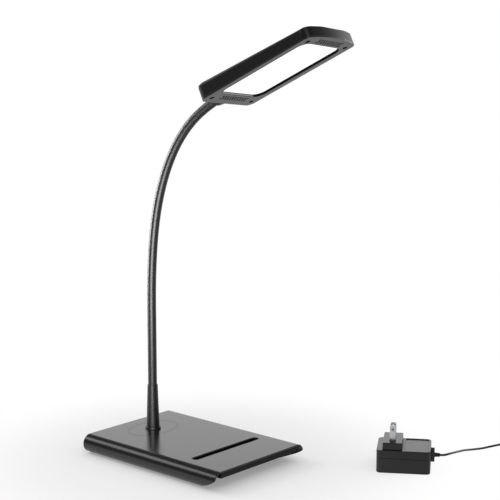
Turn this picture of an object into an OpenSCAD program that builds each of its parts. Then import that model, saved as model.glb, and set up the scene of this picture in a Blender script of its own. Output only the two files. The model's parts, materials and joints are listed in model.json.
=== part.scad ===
// Desk lamp with a flexible neck, a flat light head, a weighted sheet-steel base and a plug-in adapter.
// Unit: mm. Origin on the desk under the middle of the base, +Z up, -Y towards the user, +X to the right.

/* [Base] */
// Width of the base across its rolled sides
base_w = 142; // [125:1:170]
// Depth of the base from front edge to back edge
base_d = 200; // [190:1:230]
// Height of the rolled steel shell
base_h = 20.2; // [19:0.2:24]
// Thickness of the steel sheet
sheet_t = 1.6; // [1.2:0.1:1.8]
// Width of the flat lip under each roll
lip_w = 12; // [10:0.5:16]
// How far the front end of a roll is cut back at the bottom
front_cut = 26; // [18:1:30]
// Height over the roll's middle where that cut begins
cut_rise = 2.4; // [1:0.1:4]
// Diameter of a rubber foot
foot_d = 9; // [7:0.5:10]
// Height of a rubber foot
foot_h = 1; // [0.6:0.1:2]
// Distance from the front edge to the front feet
foot_front = 42; // [42:1:50]
// Distance from the back edge to the back feet
foot_back = 10; // [8:1:20]
// Height of the plastic cover under the sheet
cover_h = 6.4; // [6:0.1:7.4]
// Wall of the plastic cover
cover_wall = 1.8; // [1.2:0.1:2]
// Thickness of the steel ballast plate
ballast_t = 3.8; // [3:0.1:4]

/* [Phone slot] */
// Distance of the slot's ends from the sides of the base
slot_side = 20; // [19:0.5:30]
// Width of the slot in the sheet
slot_w = 9; // [8.5:0.5:12]
// Distance of the slot's middle from the front edge
slot_from_front = 49.5; // [42:0.5:56]
// Wall of the slot's plastic liner
liner_t = 1.2; // [0.8:0.1:1.4]

/* [Stem] */
// Distance of the stem from the back edge
stem_from_back = 38.4; // [34:0.2:44]
// Width of the oval plate round the stem
oval_w = 66; // [56:1:72]
// Depth of the oval plate round the stem
oval_d = 43; // [40:0.5:46]
// End radius of the oval plate
oval_end_r = 15.5; // [14:0.5:16.5]
// Margin of the bracket under the oval plate
bracket_margin = 4; // [3:0.5:5]
// Diameter of the hollow stud that holds the stem
stud_d = 9; // [8.5:0.1:9.4]
// Bore of the stud
stud_bore = 4; // [3:0.2:5]
// Diameter of the flange under the ferrule
flange_d = 17.5; // [16:0.5:20]
// Height of the flange
flange_h = 2.2; // [1.5:0.1:3]
// Diameter of the ferrule at its foot
ferrule_d_low = 14.7; // [13.5:0.1:16]
// Diameter of the ferrule at its mouth
ferrule_d_top = 11.6; // [11.4:0.1:13]
// Height of the ferrule above the base, flange included
ferrule_h = 51; // [46:0.5:60]
// Length of the neck that sits in the ferrule
neck_held = 30; // [26:0.5:36]

/* [Neck] */
// Diameter of the neck's smooth sleeve
neck_d = 10; // [9.8:0.1:10.6]
// Wall of the sleeve
sleeve_t = 1.3; // [1:0.1:1.4]
// Diameter of the bendable core
core_d = 6.6; // [6.4:0.1:6.8]
// Ball of each core joint
ball_d = 5.2; // [5:0.1:5.4]
// Diameter of the core's waist under a ball
waist_d = 3; // [2.6:0.1:3.2]
// Wire channel through the core
channel_d = 1.6; // [1.4:0.1:1.8]
// Diameter of the lead in the neck
lead_d = 1.1; // [0.8:0.1:1.2]
// Length of one span between two core joints
span_l = 29.85; // [24:0.05:36]
// Turn of the neck's bend to the right
neck_yaw = 9; // [-30:1:30]

/* [Head] */
// Length of the head
head_l = 150.6; // [146:0.2:170]
// Width of the head
head_w = 89; // [86:1:100]
// Height of the head at the neck end
head_h_neck = 17.4; // [17:0.1:20]
// Height of the head at the tip
head_h_tip = 11.6; // [10:0.1:13]
// Corner radius at the tip
tip_corner_r = 10; // [8:0.5:12]
// Corner radius at the neck end
neck_corner_r = 10; // [6:0.5:11]
// Bow of the tip edge
tip_bow = 4; // [2:0.5:5]
// Rounding of the long top edges
top_edge_r = 2.2; // [2:0.1:4]
// Rounding of the top edge at the neck end
neck_edge_r = 3.5; // [2.5:0.1:4]
// Bevel of the top edge at the tip
tip_bevel = 1.2; // [0.8:0.1:2]
// Wall of the housing
head_wall = 2; // [1.6:0.1:2.2]
// Thickness of the bezel
bezel_t = 2.2; // [2:0.1:2.6]
// Rounding of the bezel's outer edge
bezel_edge_r = 0.8; // [0.6:0.1:1.8]
// Height of the neck's axis over the underside, at the neck end
neck_in_z = 8.5; // [8:0.1:9]
// Turn of the head about the neck's end
head_roll = 6.4; // [-20:0.2:20]
// Length of the collar at the head
collar_l = 9; // [6:0.5:12]
// Diameter of the collar at the head wall
collar_d = 16; // [14:0.5:16]

/* [Light window] */
// Distance of the window from the neck end
window_x = 20; // [20:0.5:23]
// Distance of the window from the tip
window_tip = 17; // [16:0.5:22]
// Width of the bezel beside the window
window_side = 9; // [8:0.5:11]
// Corner radius of the window
window_r = 11; // [9:0.1:13]
// Depth of the window down to the diffuser
window_depth = 3; // [2.8:0.1:3.2]
// Overlap of the diffuser behind the window's edge
seat = 1.6; // [1:0.1:1.6]
// Thickness of the diffuser
diffuser_t = 1.4; // [1:0.1:1.5]
// Thickness of the light guide
guide_t = 2; // [1.6:0.1:2.1]
// Thickness of the reflector sheet
reflector_t = 0.3; // [0.2:0.1:0.4]
// Thickness of the aluminium heat plate
heat_plate_t = 0.8; // [0.5:0.1:0.9]
// Distance of the screws from the sides of the head
screw_side = 10; // [8:0.1:10.6]
// Distance of the neck-end screws from the neck end
screw_x = 10; // [9:0.2:11]
// Distance of the tip screws from the tip
screw_tip = 14; // [13:0.2:14]
// Diameter of a screw hole
screw_hole_d = 4; // [3.6:0.1:4.2]
// Diameter of a vent hole
vent_d = 1.7; // [1.2:0.1:2]
// Step between vent holes across the head
vent_step = 4.2; // [3.6:0.1:5]
// Step between vent rows along the head
vent_row = 2.8; // [2.4:0.1:2.9]
// Vent holes in a full row
vent_count = 11; // [7:2:13]

/* [Adapter] */
// Width of the adapter
adapter_w = 57.4; // [54:0.2:64]
// Depth of the adapter
adapter_d = 48.5; // [46:0.5:54]
// Height of the adapter
adapter_h = 24.8; // [24:0.2:28]
// Height of the line between the two case halves
parting_h = 16; // [14:0.5:17]
// Corner radius of the case
adapter_r = 5; // [3:0.5:6]
// Wall of the case
adapter_wall = 2; // [1.4:0.1:2.2]
// Width of the plug block
block_w = 20.5; // [19:0.5:22.5]
// Depth of the plug block
block_d = 39.5; // [34:0.5:42]
// Height of the plug block above the case
block_h = 7.8; // [6:0.2:9]
// Width of a plug blade
blade_w = 6.35; // [6.25:0.05:6.5]
// Thickness of a plug blade
blade_t = 1.5; // [1.4:0.05:1.65]
// Length of a plug blade above the block
blade_l = 16.8; // [15.9:0.1:18.2]
// Distance between the two blades
blade_gap = 12.7; // [12.5:0.1:12.9]

/* [Cord] */
// Diameter of the adapter's cord
cord_d = 2.6; // [2.4:0.1:2.8]
// Loops of the stored coil in one layer
loops_per_layer = 3.5; // [2.5:1:4.5]
// Radius of the coil's innermost loop
coil_inner_r = 9; // [8:0.5:12]
// Air between neighbouring loops of the coil
loop_air = 0.45; // [0.42:0.01:0.6]
// Diameter of the plug's grip
grip_d = 10; // [9:0.5:11]
// Length of the plug's grip
grip_l = 22; // [18:0.5:26]
// Diameter of the plug's barrel
barrel_d = 5.5; // [5:0.1:5.5]
// Length of the plug's barrel
barrel_l = 9.5; // [9:0.1:10]

/* [Hidden] */
$fn = 64;
// Facets of the wide arcs
wide_fn = 360;
// Cut past a face
over = 1;
// Gap of a seated fit
fit = 0.1;
// Gap round a loosely held piece
play = 0.3;

// Bend of the neck in each span, in degrees, as the lamp stands
neck_bend = [0, 0, 0, 2, 2.5, 3.5, 5.5, 6.5, 8.5, 11.5, 13.5, 9.5];
spans = len(neck_bend);

// Heights and places in the base
top_z = foot_h + base_h;
under_z = top_z - sheet_t;
cover_z = under_z - cover_h;
floor_z = cover_z + cover_wall;
roll_r = base_h / 2;
roll_x = base_w / 2 - roll_r;
cover_gap = 1;
cover_x = roll_x - cover_gap;
cover_y = base_d / 2 - cover_gap;
slot_l = base_w - 2 * slot_side;
slot_y = slot_from_front - base_d / 2;
stem_y = base_d / 2 - stem_from_back;
liner_flange = 2.5;
liner_sink = 0.3;
ballast_gap = 0.6;
foot_x = roll_x - lip_w / 2;
cut_power = 1.4;
cut_steps = 12;

// Pan of the cover round the stem's nut, and the jack's box behind it
pan_d = 56;
pan_z = foot_h + 5;
jack_w = 11;
jack_h = 10;
jack_l = 13;
jack_nose_d = 8;
jack_bore_d = 6.2;
jack_pin_d = 2;
jack_box_w = jack_w + 2 * (cover_wall + play);
jack_z = pan_z + cover_wall + jack_h / 2;
jack_y = cover_y - cover_wall - jack_l;
control_w = 14;
control_in = 2;

// Stack under the stem
bracket_t = 1.6;
washer_d = 18;
washer_t = 1.2;
nut_d = 14;
nut_h = 4;
bracket_z = under_z - bracket_t;
washer_z = bracket_z - washer_t;
nut_z = washer_z - nut_h;
stud_end = 2;
mouth_z = top_z + ferrule_h;
held_z = mouth_z - neck_held;

// Ball joints of the core
ball_air = 0.2;
socket_d = ball_d + 2 * ball_air;
socket_rim = 1.4;
shoulder = 3.4;
cup_d = core_d + 0.2;
cup_l = 2;
flare = 1;
span_rings = 3;
sleeve_sides = 24;
core_bore = neck_d - 2 * sleeve_t;
core_in_head = 8;

// Direction of the neck, from the vertical, and its place in the neck's plane at the start of span i
function lean(i) = i == 0 ? 0 : lean(i - 1) + neck_bend[i - 1];
function bend_r(i) = span_l / (neck_bend[i] * PI / 180);
function chord(i) = neck_bend[i] == 0 ? span_l : 2 * bend_r(i) * sin(neck_bend[i] / 2);
function chord_lean(i) = lean(i) + neck_bend[i] / 2;
function joint_at(i) =
    i == 0 ? [0, 0, mouth_z]
           : joint_at(i - 1) + chord(i - 1) * [sin(chord_lean(i - 1)), 0, cos(chord_lean(i - 1))];

// Head
slope = atan((head_h_neck - head_h_tip) / head_l);
bow_half = head_w / 2 - tip_corner_r;
bow_r = (bow_half * bow_half + tip_bow * tip_bow) / (2 * tip_bow) + tip_corner_r;
window_l = head_l - window_x - window_tip;
window_w = head_w - 2 * window_side;
window_mid = window_x + window_l / 2;
screw_w = head_w - 2 * screw_side;
screw_l = head_l - screw_x - screw_tip;
diffuser_z = window_depth;
guide_z = diffuser_z + diffuser_t;
reflector_z = guide_z + guide_t;
heat_z = reflector_z + reflector_t;
heat_top = heat_z + heat_plate_t;
inner_edge_r = 0.2;
rim_t = 1.2;
boss_t = 0.8;
boss_d = screw_hole_d + 2 * boss_t;
boss_h = 6;
boss_floor = 1.2;
screw_shank_d = 2.2;
screw_head_h = 1.4;
screw_bite = 1.8;
led_t = 1.2;
led_margin = 6.75;
led_l = window_l - 2 * led_margin;
rib_t = 1.6;
rib_margin = 6;
rib_w = window_w - 2 * rib_margin;
rib_step = 30;
rib_places = [window_mid - rib_step, window_mid, window_mid + rib_step];
touch_w = 44;
touch_l = 13;
touch_t = 0.8;
touch_x = 17;
touch_r = 3;
board_t = 1;
board_w = 40;
board_l = 11;
collar_wall = 1.5;
neck_nut_d = 10;
neck_nut_h = 3.5;
vent_x_neck = 13;
vent_from_tip = 10.3;
vent_x_tip = head_l - vent_from_tip;
function roof(x) = head_h_neck - x * tan(slope);

// Adapter: its front left corner on the desk, and its turn
adapter_at = [93.3, -181.8, 0];
adapter_turn = -57;
block_x = 6.5;
block_y = 2.5;
block_seat = 3;
block_r = 1;
blade_x = block_x + block_w / 2;
blade_y = 10.9;
blade_root = 4;
blade_tip_r = 2;
blade_hole_d = 3.2;
blade_hole_drop = 4.4;
panel_x = 29.8;
panel_margin = 2.5;
panel_depth = 0.8;
panel_r = 3;
relief_y = 20;
relief_z = 16.4;
relief_boss_h = 15.6;
relief_boss_w = 9;
relief_boss_t = 4;
relief_d = 5.2;
relief_l = 6;
relief_rib = 0.4;
relief_ribs = 3;
relief_wall = 0.5;
case_board_z = adapter_wall + 3;
case_board_t = 1.6;
post_d = 4;
post_in = 9;
block_flange = 1.5;
core_w = 22;
core_l = 18;
core_h = 12;
core_in = 3;

// Cord: route points by hand, in the adapter's frame, and the stored coil
cord_sides = 8;
loop_sides = 6;
loop_rings = 24;
coil_layers = 4;
tie_t = 0.9;
tie_w = 6;
coil_at = [166, 139];
loop_pitch = cord_d + loop_air;
coil_turns = coil_layers * loops_per_layer;
coil_outer_r = coil_inner_r + loops_per_layer * loop_pitch;
coil_z = tie_t + play + cord_d / 2;
coil_steps = round(coil_turns * loop_rings);
coil_top = coil_z + (coil_layers - 1) * loop_pitch;
relief_end = adapter_w + relief_boss_t + relief_l;
coil_in = [coil_at[0], coil_at[1] - coil_outer_r];
run_points = [[relief_end, relief_y, relief_z], [relief_end + cord_d, relief_y, relief_z], [72.6, 21.2, 16.4],
              [76, 25.2, 16.2], [79.2, 31.2, 15.4], [81.9, 37.8, 14.1], [87.5, 53.6, 10.8], [93.2, 67.5, 7.9],
              [99.5, 79.6, 5], [107, 90.2, 2.8], [114.5, 98.5, 1.6], [122, 105.8, 1.4], [129.5, 111.8, 1.5],
              [137, 116.4, 1.9],
              [coil_in[0] - 8 * cord_d, coil_in[1], coil_z], [coil_in[0] - 5 * cord_d, coil_in[1], coil_z],
              [coil_in[0] - 2 * cord_d, coil_in[1], coil_z]];
tail_points = [for (p = [[2 * cord_d, 0, 0], [8, 0, 0], [11, 0, -0.15], [15.5, 0.5, -1.5], [20.5, 2.2, -3.7],
                         [25, 5.2, -5.4], [28.2, 9.5, -6.3], [29.8, 14.5, -6.65], [30, 18, -6.65],
                         [30, 20, -6.65], [30, 22, -6.65]])
                  [coil_in[0] + p[0], coil_in[1] + p[1], max(grip_d / 2, coil_top + p[2])]];
plug_turn = 90;
grip_waist = 4;
grip_lip = 0.7;
grip_step = 1;
barrel_root = 5;
barrel_root_d = 4.4;
barrel_bore_d = 2.1;

// Small vector helpers
function unit(v) = v / norm(v);
function last(list) = list[len(list) - 1];

// Smooth route through hand-chosen points: a Catmull-Rom curve with a fixed number of steps in each stretch
function curve_point(a, b, c, d, t) =
    0.5 * (2 * b + (c - a) * t + (2 * a - 5 * b + 4 * c - d) * t * t + (3 * b - a - 3 * c + d) * t * t * t);
function smooth(p, steps) =
    let (n = len(p))
    concat([for (i = [0 : n - 2], k = [0 : steps - 1])
               curve_point(p[max(i - 1, 0)], p[i], p[i + 1], p[min(i + 2, n - 1)], k / steps)], [p[n - 1]]);

// Rings of a tube: the side vector is carried along the route so that the tube doesn't twist
function heading(p, i) = unit(p[min(i + 1, len(p) - 1)] - p[max(i - 1, 0)]);
function flatten_to(v, t) = unit(v - (v * t) * t);
function sides_along(p, first, i = 0, v = undef) =
    i == len(p) ? []
                : let (s = flatten_to(i == 0 ? first : v, heading(p, i)))
                  concat([s], sides_along(p, first, i + 1, s));
function ring(c, t, s, r, n) =
    [for (k = [0 : n - 1]) c + r * (cos(360 * k / n) * s + sin(360 * k / n) * cross(t, s))];
function quad(a, b, c, d) = [[a, b, c], [a, c, d]];

// One closed tube of triangles along a route
module swept_tube(p, r, n, first = [0, 0, 1]) {
    m = len(p);
    s = sides_along(p, first);
    points = [for (i = [0 : m - 1]) each ring(p[i], heading(p, i), s[i], r, n)];
    walls = [for (i = [0 : m - 2], k = [0 : n - 1])
                each quad(i * n + k, (i + 1) * n + k, (i + 1) * n + (k + 1) % n, i * n + (k + 1) % n)];
    caps = concat([for (k = [1 : n - 2]) [0, k, k + 1]],
                  [for (k = [1 : n - 2]) [(m - 1) * n, (m - 1) * n + k + 1, (m - 1) * n + k]]);
    polyhedron(points, concat(walls, caps), convexity = 12);
}

// One closed pipe of triangles along a route: an outer wall, an inner wall and a flat ring at each end
module swept_pipe(p, r, bore_r, n) {
    m = len(p);
    s = sides_along(p, [0, 1, 0]);
    outer = [for (i = [0 : m - 1]) each ring(p[i], heading(p, i), s[i], r, n)];
    inner = [for (i = [0 : m - 1]) each ring(p[i], heading(p, i), s[i], bore_r, n)];
    d = m * n;
    e = (m - 1) * n;
    out_walls = [for (i = [0 : m - 2], k = [0 : n - 1])
                    each quad(i * n + k, (i + 1) * n + k, (i + 1) * n + (k + 1) % n, i * n + (k + 1) % n)];
    in_walls = [for (i = [0 : m - 2], k = [0 : n - 1])
                   each quad(d + i * n + (k + 1) % n, d + (i + 1) * n + (k + 1) % n,
                             d + (i + 1) * n + k, d + i * n + k)];
    ends = [for (k = [0 : n - 1])
               each concat(quad(k, (k + 1) % n, d + (k + 1) % n, d + k),
                           quad(d + e + k, d + e + (k + 1) % n, e + (k + 1) % n, e + k))];
    polyhedron(concat(outer, inner), concat(out_walls, in_walls, ends), convexity = 12);
}

// Rectangle with round corners, its middle at the origin
module round_rect(l, w, r) {
    square([l - 2 * r, w], center = true);
    square([l, w - 2 * r], center = true);
    for (x = [-1, 1], y = [-1, 1])
        translate([x * (l / 2 - r), y * (w / 2 - r)])
            circle(r);
}

// Strip with half-round ends
module stadium(l, w) {
    square([l - w, w], center = true);
    for (x = [-1, 1])
        translate([x * (l - w) / 2, 0])
            circle(d = w);
}

// Oval of four tangent arcs
module oval(w, d, r) {
    run = w / 2 - r;
    rise = d / 2 - r;
    drop = (run * run - rise * rise) / (2 * rise);
    wide_r = d / 2 + drop;
    reach = run * wide_r / (wide_r - r);
    for (x = [-1, 1])
        translate([x * run, 0])
            circle(r);
    intersection() {
        translate([0, -drop])
            circle(wide_r, $fn = wide_fn);
        translate([0, drop])
            circle(wide_r, $fn = wide_fn);
        square([2 * reach, d], center = true);
    }
}

// Slab of a flat outline between two heights
module slab(z, h) {
    translate([0, 0, z])
        linear_extrude(h)
            children();
}

// Section of the base along X: flat top, two half-round rolls, lips turned under
module roll_outline(inset) {
    r = roll_r - inset;
    translate([-roll_x, -r])
        square([2 * roll_x, 2 * r]);
    for (x = [-1, 1])
        translate([x * roll_x, 0])
            circle(r);
}

module shell_section() {
    difference() {
        roll_outline(0);
        roll_outline(sheet_t);
        translate([-(roll_x - lip_w), -roll_r - over])
            square([2 * (roll_x - lip_w), roll_r + over]);
    }
}

// Side view of the base: the front end of each roll is cut back in a curve that leaves the front edge gently
module shell_side() {
    front = -base_d / 2;
    fall = roll_r + cut_rise;
    cut = [for (k = [0 : cut_steps])
              let (t = k / cut_steps)
              [front + front_cut * pow(t, cut_power), foot_h + fall * (1 - t)]];
    polygon(concat([[base_d / 2, -over], [base_d / 2, top_z + over], [front, top_z + over]], cut,
                   [[front + front_cut, -over]]));
}

// Front corner of the right lip, cut away aslant behind the cut end of the roll
module lip_corner() {
    front = -base_d / 2;
    root = roll_x - sheet_t;
    reach = lip_w + over;
    polygon([[root, front - over], [root, front + front_cut], [root - reach, front + front_cut + reach],
             [root - reach, front - over]]);
}

module base_shell() {
    color([0.13, 0.13, 0.14])
        difference() {
            intersection() {
                translate([0, 0, foot_h + roll_r])
                    rotate([90, 0, 0])
                        linear_extrude(base_d, center = true)
                            shell_section();
                rotate([90, 0, 90])
                    linear_extrude(base_w + 2 * over, center = true)
                        shell_side();
            }
            translate([0, slot_y])
                slab(under_z - over, sheet_t + 2 * over)
                    stadium(slot_l, slot_w);
            translate([0, stem_y])
                slab(under_z - over, sheet_t + 2 * over)
                    oval(oval_w + 2 * fit, oval_d + 2 * fit, oval_end_r + fit);
            for (side = [0, 1])
                mirror([side, 0, 0])
                    slab(foot_h - over, sheet_t + 2 * over)
                        lip_corner();
        }
}

module bottom_cover() {
    color([0.07, 0.07, 0.075])
        difference() {
            union() {
                translate([-cover_x, -cover_y, cover_z])
                    cube([2 * cover_x, 2 * cover_y, cover_h]);
                translate([0, stem_y, pan_z])
                    cylinder(d = pan_d, h = floor_z - pan_z);
                translate([-jack_box_w / 2, stem_y, pan_z])
                    cube([jack_box_w, cover_y - stem_y, floor_z - pan_z]);
            }
            translate([-cover_x + cover_wall, -cover_y + cover_wall, floor_z])
                cube([2 * (cover_x - cover_wall), 2 * (cover_y - cover_wall), cover_h]);
            translate([0, stem_y, pan_z + cover_wall])
                cylinder(d = pan_d - 2 * cover_wall, h = cover_h + floor_z - pan_z);
            translate([-jack_box_w / 2 + cover_wall, stem_y, pan_z + cover_wall])
                cube([jack_box_w - 2 * cover_wall, cover_y - cover_wall - stem_y, cover_h + floor_z - pan_z]);
            translate([0, cover_y - cover_wall - over, jack_z])
                rotate([-90, 0, 0])
                    cylinder(d = jack_nose_d + 2 * fit, h = cover_wall + 2 * over);
            cover_screw_places(cover_z - over)
                cylinder(d = cover_screw_d + 2 * fit, h = cover_wall + 2 * over);
        }
}

// Four screws pull the cover up to studs under the sheet
cover_screw_d = 3;
cover_screw_head_d = 6;
cover_screw_head_h = 1.6;
cover_screw_in = 6;
cover_screw_x = cover_x - cover_screw_in;
cover_screw_y = cover_y - cover_screw_in;

module cover_screw_places(z) {
    for (x = [-1, 1], y = [-1, 1])
        translate([x * cover_screw_x, y * cover_screw_y, z])
            children();
}

module cover_screws() {
    color([0.6, 0.6, 0.62])
        cover_screw_places(cover_z - cover_screw_head_h) {
            cylinder(d = cover_screw_head_d, h = cover_screw_head_h);
            cylinder(d = cover_screw_d, h = cover_screw_head_h + cover_h);
        }
}

module ballast_plate() {
    plate_x = cover_x - cover_wall - ballast_gap;
    plate_y = cover_y - cover_wall - ballast_gap;
    liner_room = 2 * (liner_flange + ballast_gap);
    bracket_room = 2 * (bracket_margin + ballast_gap);
    color([0.45, 0.46, 0.48])
        slab(floor_z, ballast_t)
            difference() {
                square([2 * plate_x, 2 * plate_y], center = true);
                translate([0, slot_y])
                    square([slot_l + liner_room, slot_w + liner_room], center = true);
                translate([0, stem_y])
                    square([oval_w + bracket_room, oval_d + bracket_room], center = true);
                translate([-(oval_w + bracket_room) / 2, stem_y])
                    square([oval_w + bracket_room, base_d]);
                for (x = [-1, 1], y = [-1, 1])
                    translate([x * cover_screw_x, y * cover_screw_y])
                        circle(d = cover_screw_head_d);
            }
}

module foot(x, y) {
    color([0.06, 0.06, 0.06])
        translate([x, y, 0])
            cylinder(d = foot_d, h = foot_h);
}

module slot_liner() {
    drop = under_z - floor_z;
    l = slot_l - 2 * fit;
    w = slot_w - 2 * fit;
    color([0.05, 0.05, 0.055])
        translate([0, slot_y])
            difference() {
                union() {
                    slab(floor_z, drop + sheet_t - liner_sink)
                        stadium(l, w);
                    slab(under_z - liner_t, liner_t)
                        round_rect(slot_l + 2 * liner_flange, slot_w + 2 * liner_flange, slot_w / 2);
                }
                slab(floor_z + liner_t, drop + sheet_t + over)
                    stadium(l - 2 * liner_t, w - 2 * liner_t);
            }
}

module stem_plate() {
    color([0.14, 0.14, 0.15])
        translate([0, stem_y])
            difference() {
                slab(under_z, sheet_t)
                    oval(oval_w, oval_d, oval_end_r);
                translate([0, 0, under_z - over])
                    cylinder(d = stud_d + 2 * fit, h = sheet_t + 2 * over);
            }
}

module stem_bracket() {
    color([0.5, 0.51, 0.53])
        translate([0, stem_y])
            difference() {
                slab(bracket_z, bracket_t)
                    round_rect(oval_w + 2 * bracket_margin, oval_d + 2 * bracket_margin, oval_end_r);
                translate([0, 0, bracket_z - over])
                    cylinder(d = stud_d + 2 * fit, h = bracket_t + 2 * over);
            }
}

module stem_stud() {
    color([0.6, 0.6, 0.62])
        translate([0, stem_y, nut_z - stud_end])
            difference() {
                cylinder(d = stud_d, h = held_z - nut_z + stud_end);
                translate([0, 0, -over])
                    cylinder(d = stud_bore, h = held_z - nut_z + stud_end + 2 * over);
            }
}

module stem_washer() {
    color([0.62, 0.62, 0.64])
        translate([0, stem_y, washer_z])
            difference() {
                cylinder(d = washer_d, h = washer_t);
                translate([0, 0, -over])
                    cylinder(d = stud_d + 2 * fit, h = washer_t + 2 * over);
            }
}

module stem_nut() {
    color([0.62, 0.62, 0.64])
        translate([0, stem_y, nut_z])
            difference() {
                cylinder(d = nut_d, h = nut_h, $fn = 6);
                translate([0, 0, -over])
                    cylinder(d = stud_d + 2 * fit, h = nut_h + 2 * over);
            }
}

module dc_jack() {
    color([0.09, 0.09, 0.1])
        difference() {
            union() {
                translate([-jack_w / 2, jack_y, jack_z - jack_h / 2])
                    cube([jack_w, jack_l, jack_h]);
                translate([0, jack_y + jack_l, jack_z])
                    rotate([-90, 0, 0])
                        cylinder(d = jack_nose_d, h = cover_wall);
            }
            translate([0, jack_y + cover_wall, jack_z])
                rotate([-90, 0, 0])
                    difference() {
                        cylinder(d = jack_bore_d, h = jack_l + over);
                        cylinder(d = jack_pin_d, h = jack_l - cover_wall);
                    }
        }
}

module control_board() {
    left_x = oval_w / 2 - control_in;
    color([0.1, 0.32, 0.18])
        translate([-left_x, stem_y + oval_d / 2 - 2 * control_in, floor_z])
            cube([left_x - jack_box_w / 2 - over, control_w, case_board_t]);
}

module ferrule_flange() {
    color([0.09, 0.09, 0.095])
        translate([0, stem_y, top_z])
            difference() {
                cylinder(d = flange_d, h = flange_h);
                translate([0, 0, -over])
                    cylinder(d = stud_d + 2 * fit, h = flange_h + 2 * over);
            }
}

module stem_ferrule() {
    h = ferrule_h - flange_h;
    color([0.1, 0.1, 0.105])
        translate([0, stem_y, top_z + flange_h])
            difference() {
                cylinder(d1 = ferrule_d_low, d2 = ferrule_d_top, h = h);
                translate([0, 0, -over])
                    cylinder(d = stud_d + 2 * fit, h = h + 2 * over);
                translate([0, 0, held_z - top_z - flange_h])
                    cylinder(d = neck_d + 2 * fit, h = neck_held + over);
            }
}

// Plane of the neck's bend: X forward, Z up, from the stem
module neck_plane() {
    translate([0, stem_y, 0])
        rotate([0, 0, neck_yaw - 90])
            children();
}

// Frame at the start of span i, with Z along the neck
module at_joint(i) {
    translate(joint_at(i))
        rotate([0, lean(i), 0])
            children();
}

// Round rod along the first part of span i
module span_rod(i, d, part = 1) {
    if (neck_bend[i] == 0)
        cylinder(d = d, h = span_l * part);
    else
        translate([bend_r(i), 0, 0])
            rotate([0, 0, 180])
                rotate([90, 0, 0])
                    rotate_extrude(angle = neck_bend[i] * part, $fn = wide_fn)
                        translate([bend_r(i), 0])
                            circle(d = d, $fn = 48);
}

// Middle line of the neck: straight in the ferrule, then the bent spans, then on into the head
function on_span(i, part) =
    joint_at(i) + (neck_bend[i] == 0
        ? span_l * part * [sin(lean(i)), 0, cos(lean(i))]
        : 2 * bend_r(i) * sin(neck_bend[i] * part / 2)
          * [sin(lean(i) + neck_bend[i] * part / 2), 0, cos(lean(i) + neck_bend[i] * part / 2)]);
function neck_line(below, beyond) =
    concat([[0, 0, mouth_z - below]],
           [for (i = [0 : spans - 1], k = [0 : span_rings - 1])
               if (neck_bend[i] > 0 || k == 0) on_span(i, k / span_rings)],
           beyond > 0 ? [joint_at(spans)] : [],
           [joint_at(spans) + beyond * [sin(lean(spans)), 0, cos(lean(spans))]]);

module neck_sleeve() {
    color([0.09, 0.09, 0.095])
        neck_plane()
            swept_pipe(neck_line(neck_held, -play), neck_d / 2, core_bore / 2, sleeve_sides);
}

module neck_lead() {
    below = mouth_z - nut_z + stud_end;
    color([0.75, 0.1, 0.1])
        neck_plane()
            swept_tube(neck_line(below, core_in_head + stud_end), lead_d / 2, loop_sides, [0, 1, 0]);
}

// One stiff length of the core: a cup at its lower end, a ball at its upper end, a wire channel through it
module core_link(i) {
    first = i == 0;
    final = i == spans - 1;
    color([0.5, 0.5, 0.52])
        neck_plane()
            difference() {
                union() {
                    at_joint(i) {
                        span_rod(i, core_d, final ? 1 : 1 - shoulder / span_l);
                        span_rod(i, waist_d);
                        translate([0, 0, first ? -neck_held : -socket_rim])
                            cylinder(d = cup_d, h = cup_l + (first ? neck_held : socket_rim));
                    }
                    at_joint(i + 1)
                        if (final)
                            translate([0, 0, -cup_l])
                                cylinder(d = cup_d, h = cup_l + core_in_head);
                        else
                            sphere(d = ball_d);
                }
                at_joint(i) {
                    if (!first)
                        sphere(d = socket_d);
                    span_rod(i, channel_d);
                    if (first)
                        translate([0, 0, -neck_held - over])
                            cylinder(d = channel_d, h = neck_held + 2 * over);
                }
                at_joint(i + 1)
                    translate([0, 0, -over])
                        cylinder(d1 = channel_d - 2 * fit, d2 = channel_d + flare,
                                 h = core_in_head + 2 * over);
            }
}

// Frame of the head: X along the head from its neck end, Y to the right, Z up from the underside
module head_frame() {
    neck_plane()
        translate(joint_at(spans))
            rotate([0, lean(spans) - 90, 0])
                rotate([-head_roll, 0, 0])
                    translate([0, 0, -neck_in_z])
                        children();
}

// Outline of the head from above, drawn in on all sides
module head_plan(inset = 0) {
    half = head_w / 2 - inset;
    r = tip_corner_r - inset;
    rn = neck_corner_r - inset;
    wide_r = bow_r - inset;
    wide_x = head_l - bow_r;
    corner_x = wide_x + sqrt(pow(wide_r - r, 2) - pow(half - r, 2));
    reach = (half - r) * wide_r / (wide_r - r);
    translate([inset + rn, -half])
        square([corner_x - inset - rn, 2 * half]);
    translate([inset, -(half - rn)])
        square([head_l / 2, 2 * (half - rn)]);
    for (y = [-1, 1]) {
        translate([corner_x, y * (half - r)])
            circle(r);
        translate([inset + rn, y * (half - rn)])
            circle(rn);
    }
    intersection() {
        translate([wide_x, 0])
            circle(wide_r, $fn = wide_fn);
        translate([head_l / 2, -reach])
            square([head_l, 2 * reach]);
    }
}

// Cross-section of the head under its sloping roof, with rounded long edges
module roof_section(inset) {
    half = head_w / 2 - inset;
    r = max(top_edge_r - inset, inner_edge_r);
    deep = 2 * head_h_neck;
    translate([-half, -deep])
        square([2 * half, deep - inset - r]);
    translate([-(half - r), -deep])
        square([2 * (half - r), deep - inset]);
    for (y = [-1, 1])
        translate([y * (half - r), -inset - r])
            circle(r);
}

// Frame on the head's sloping roof, at its neck end
module on_roof() {
    translate([0, 0, head_h_neck])
        rotate([0, slope, 0])
            children();
}

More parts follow.
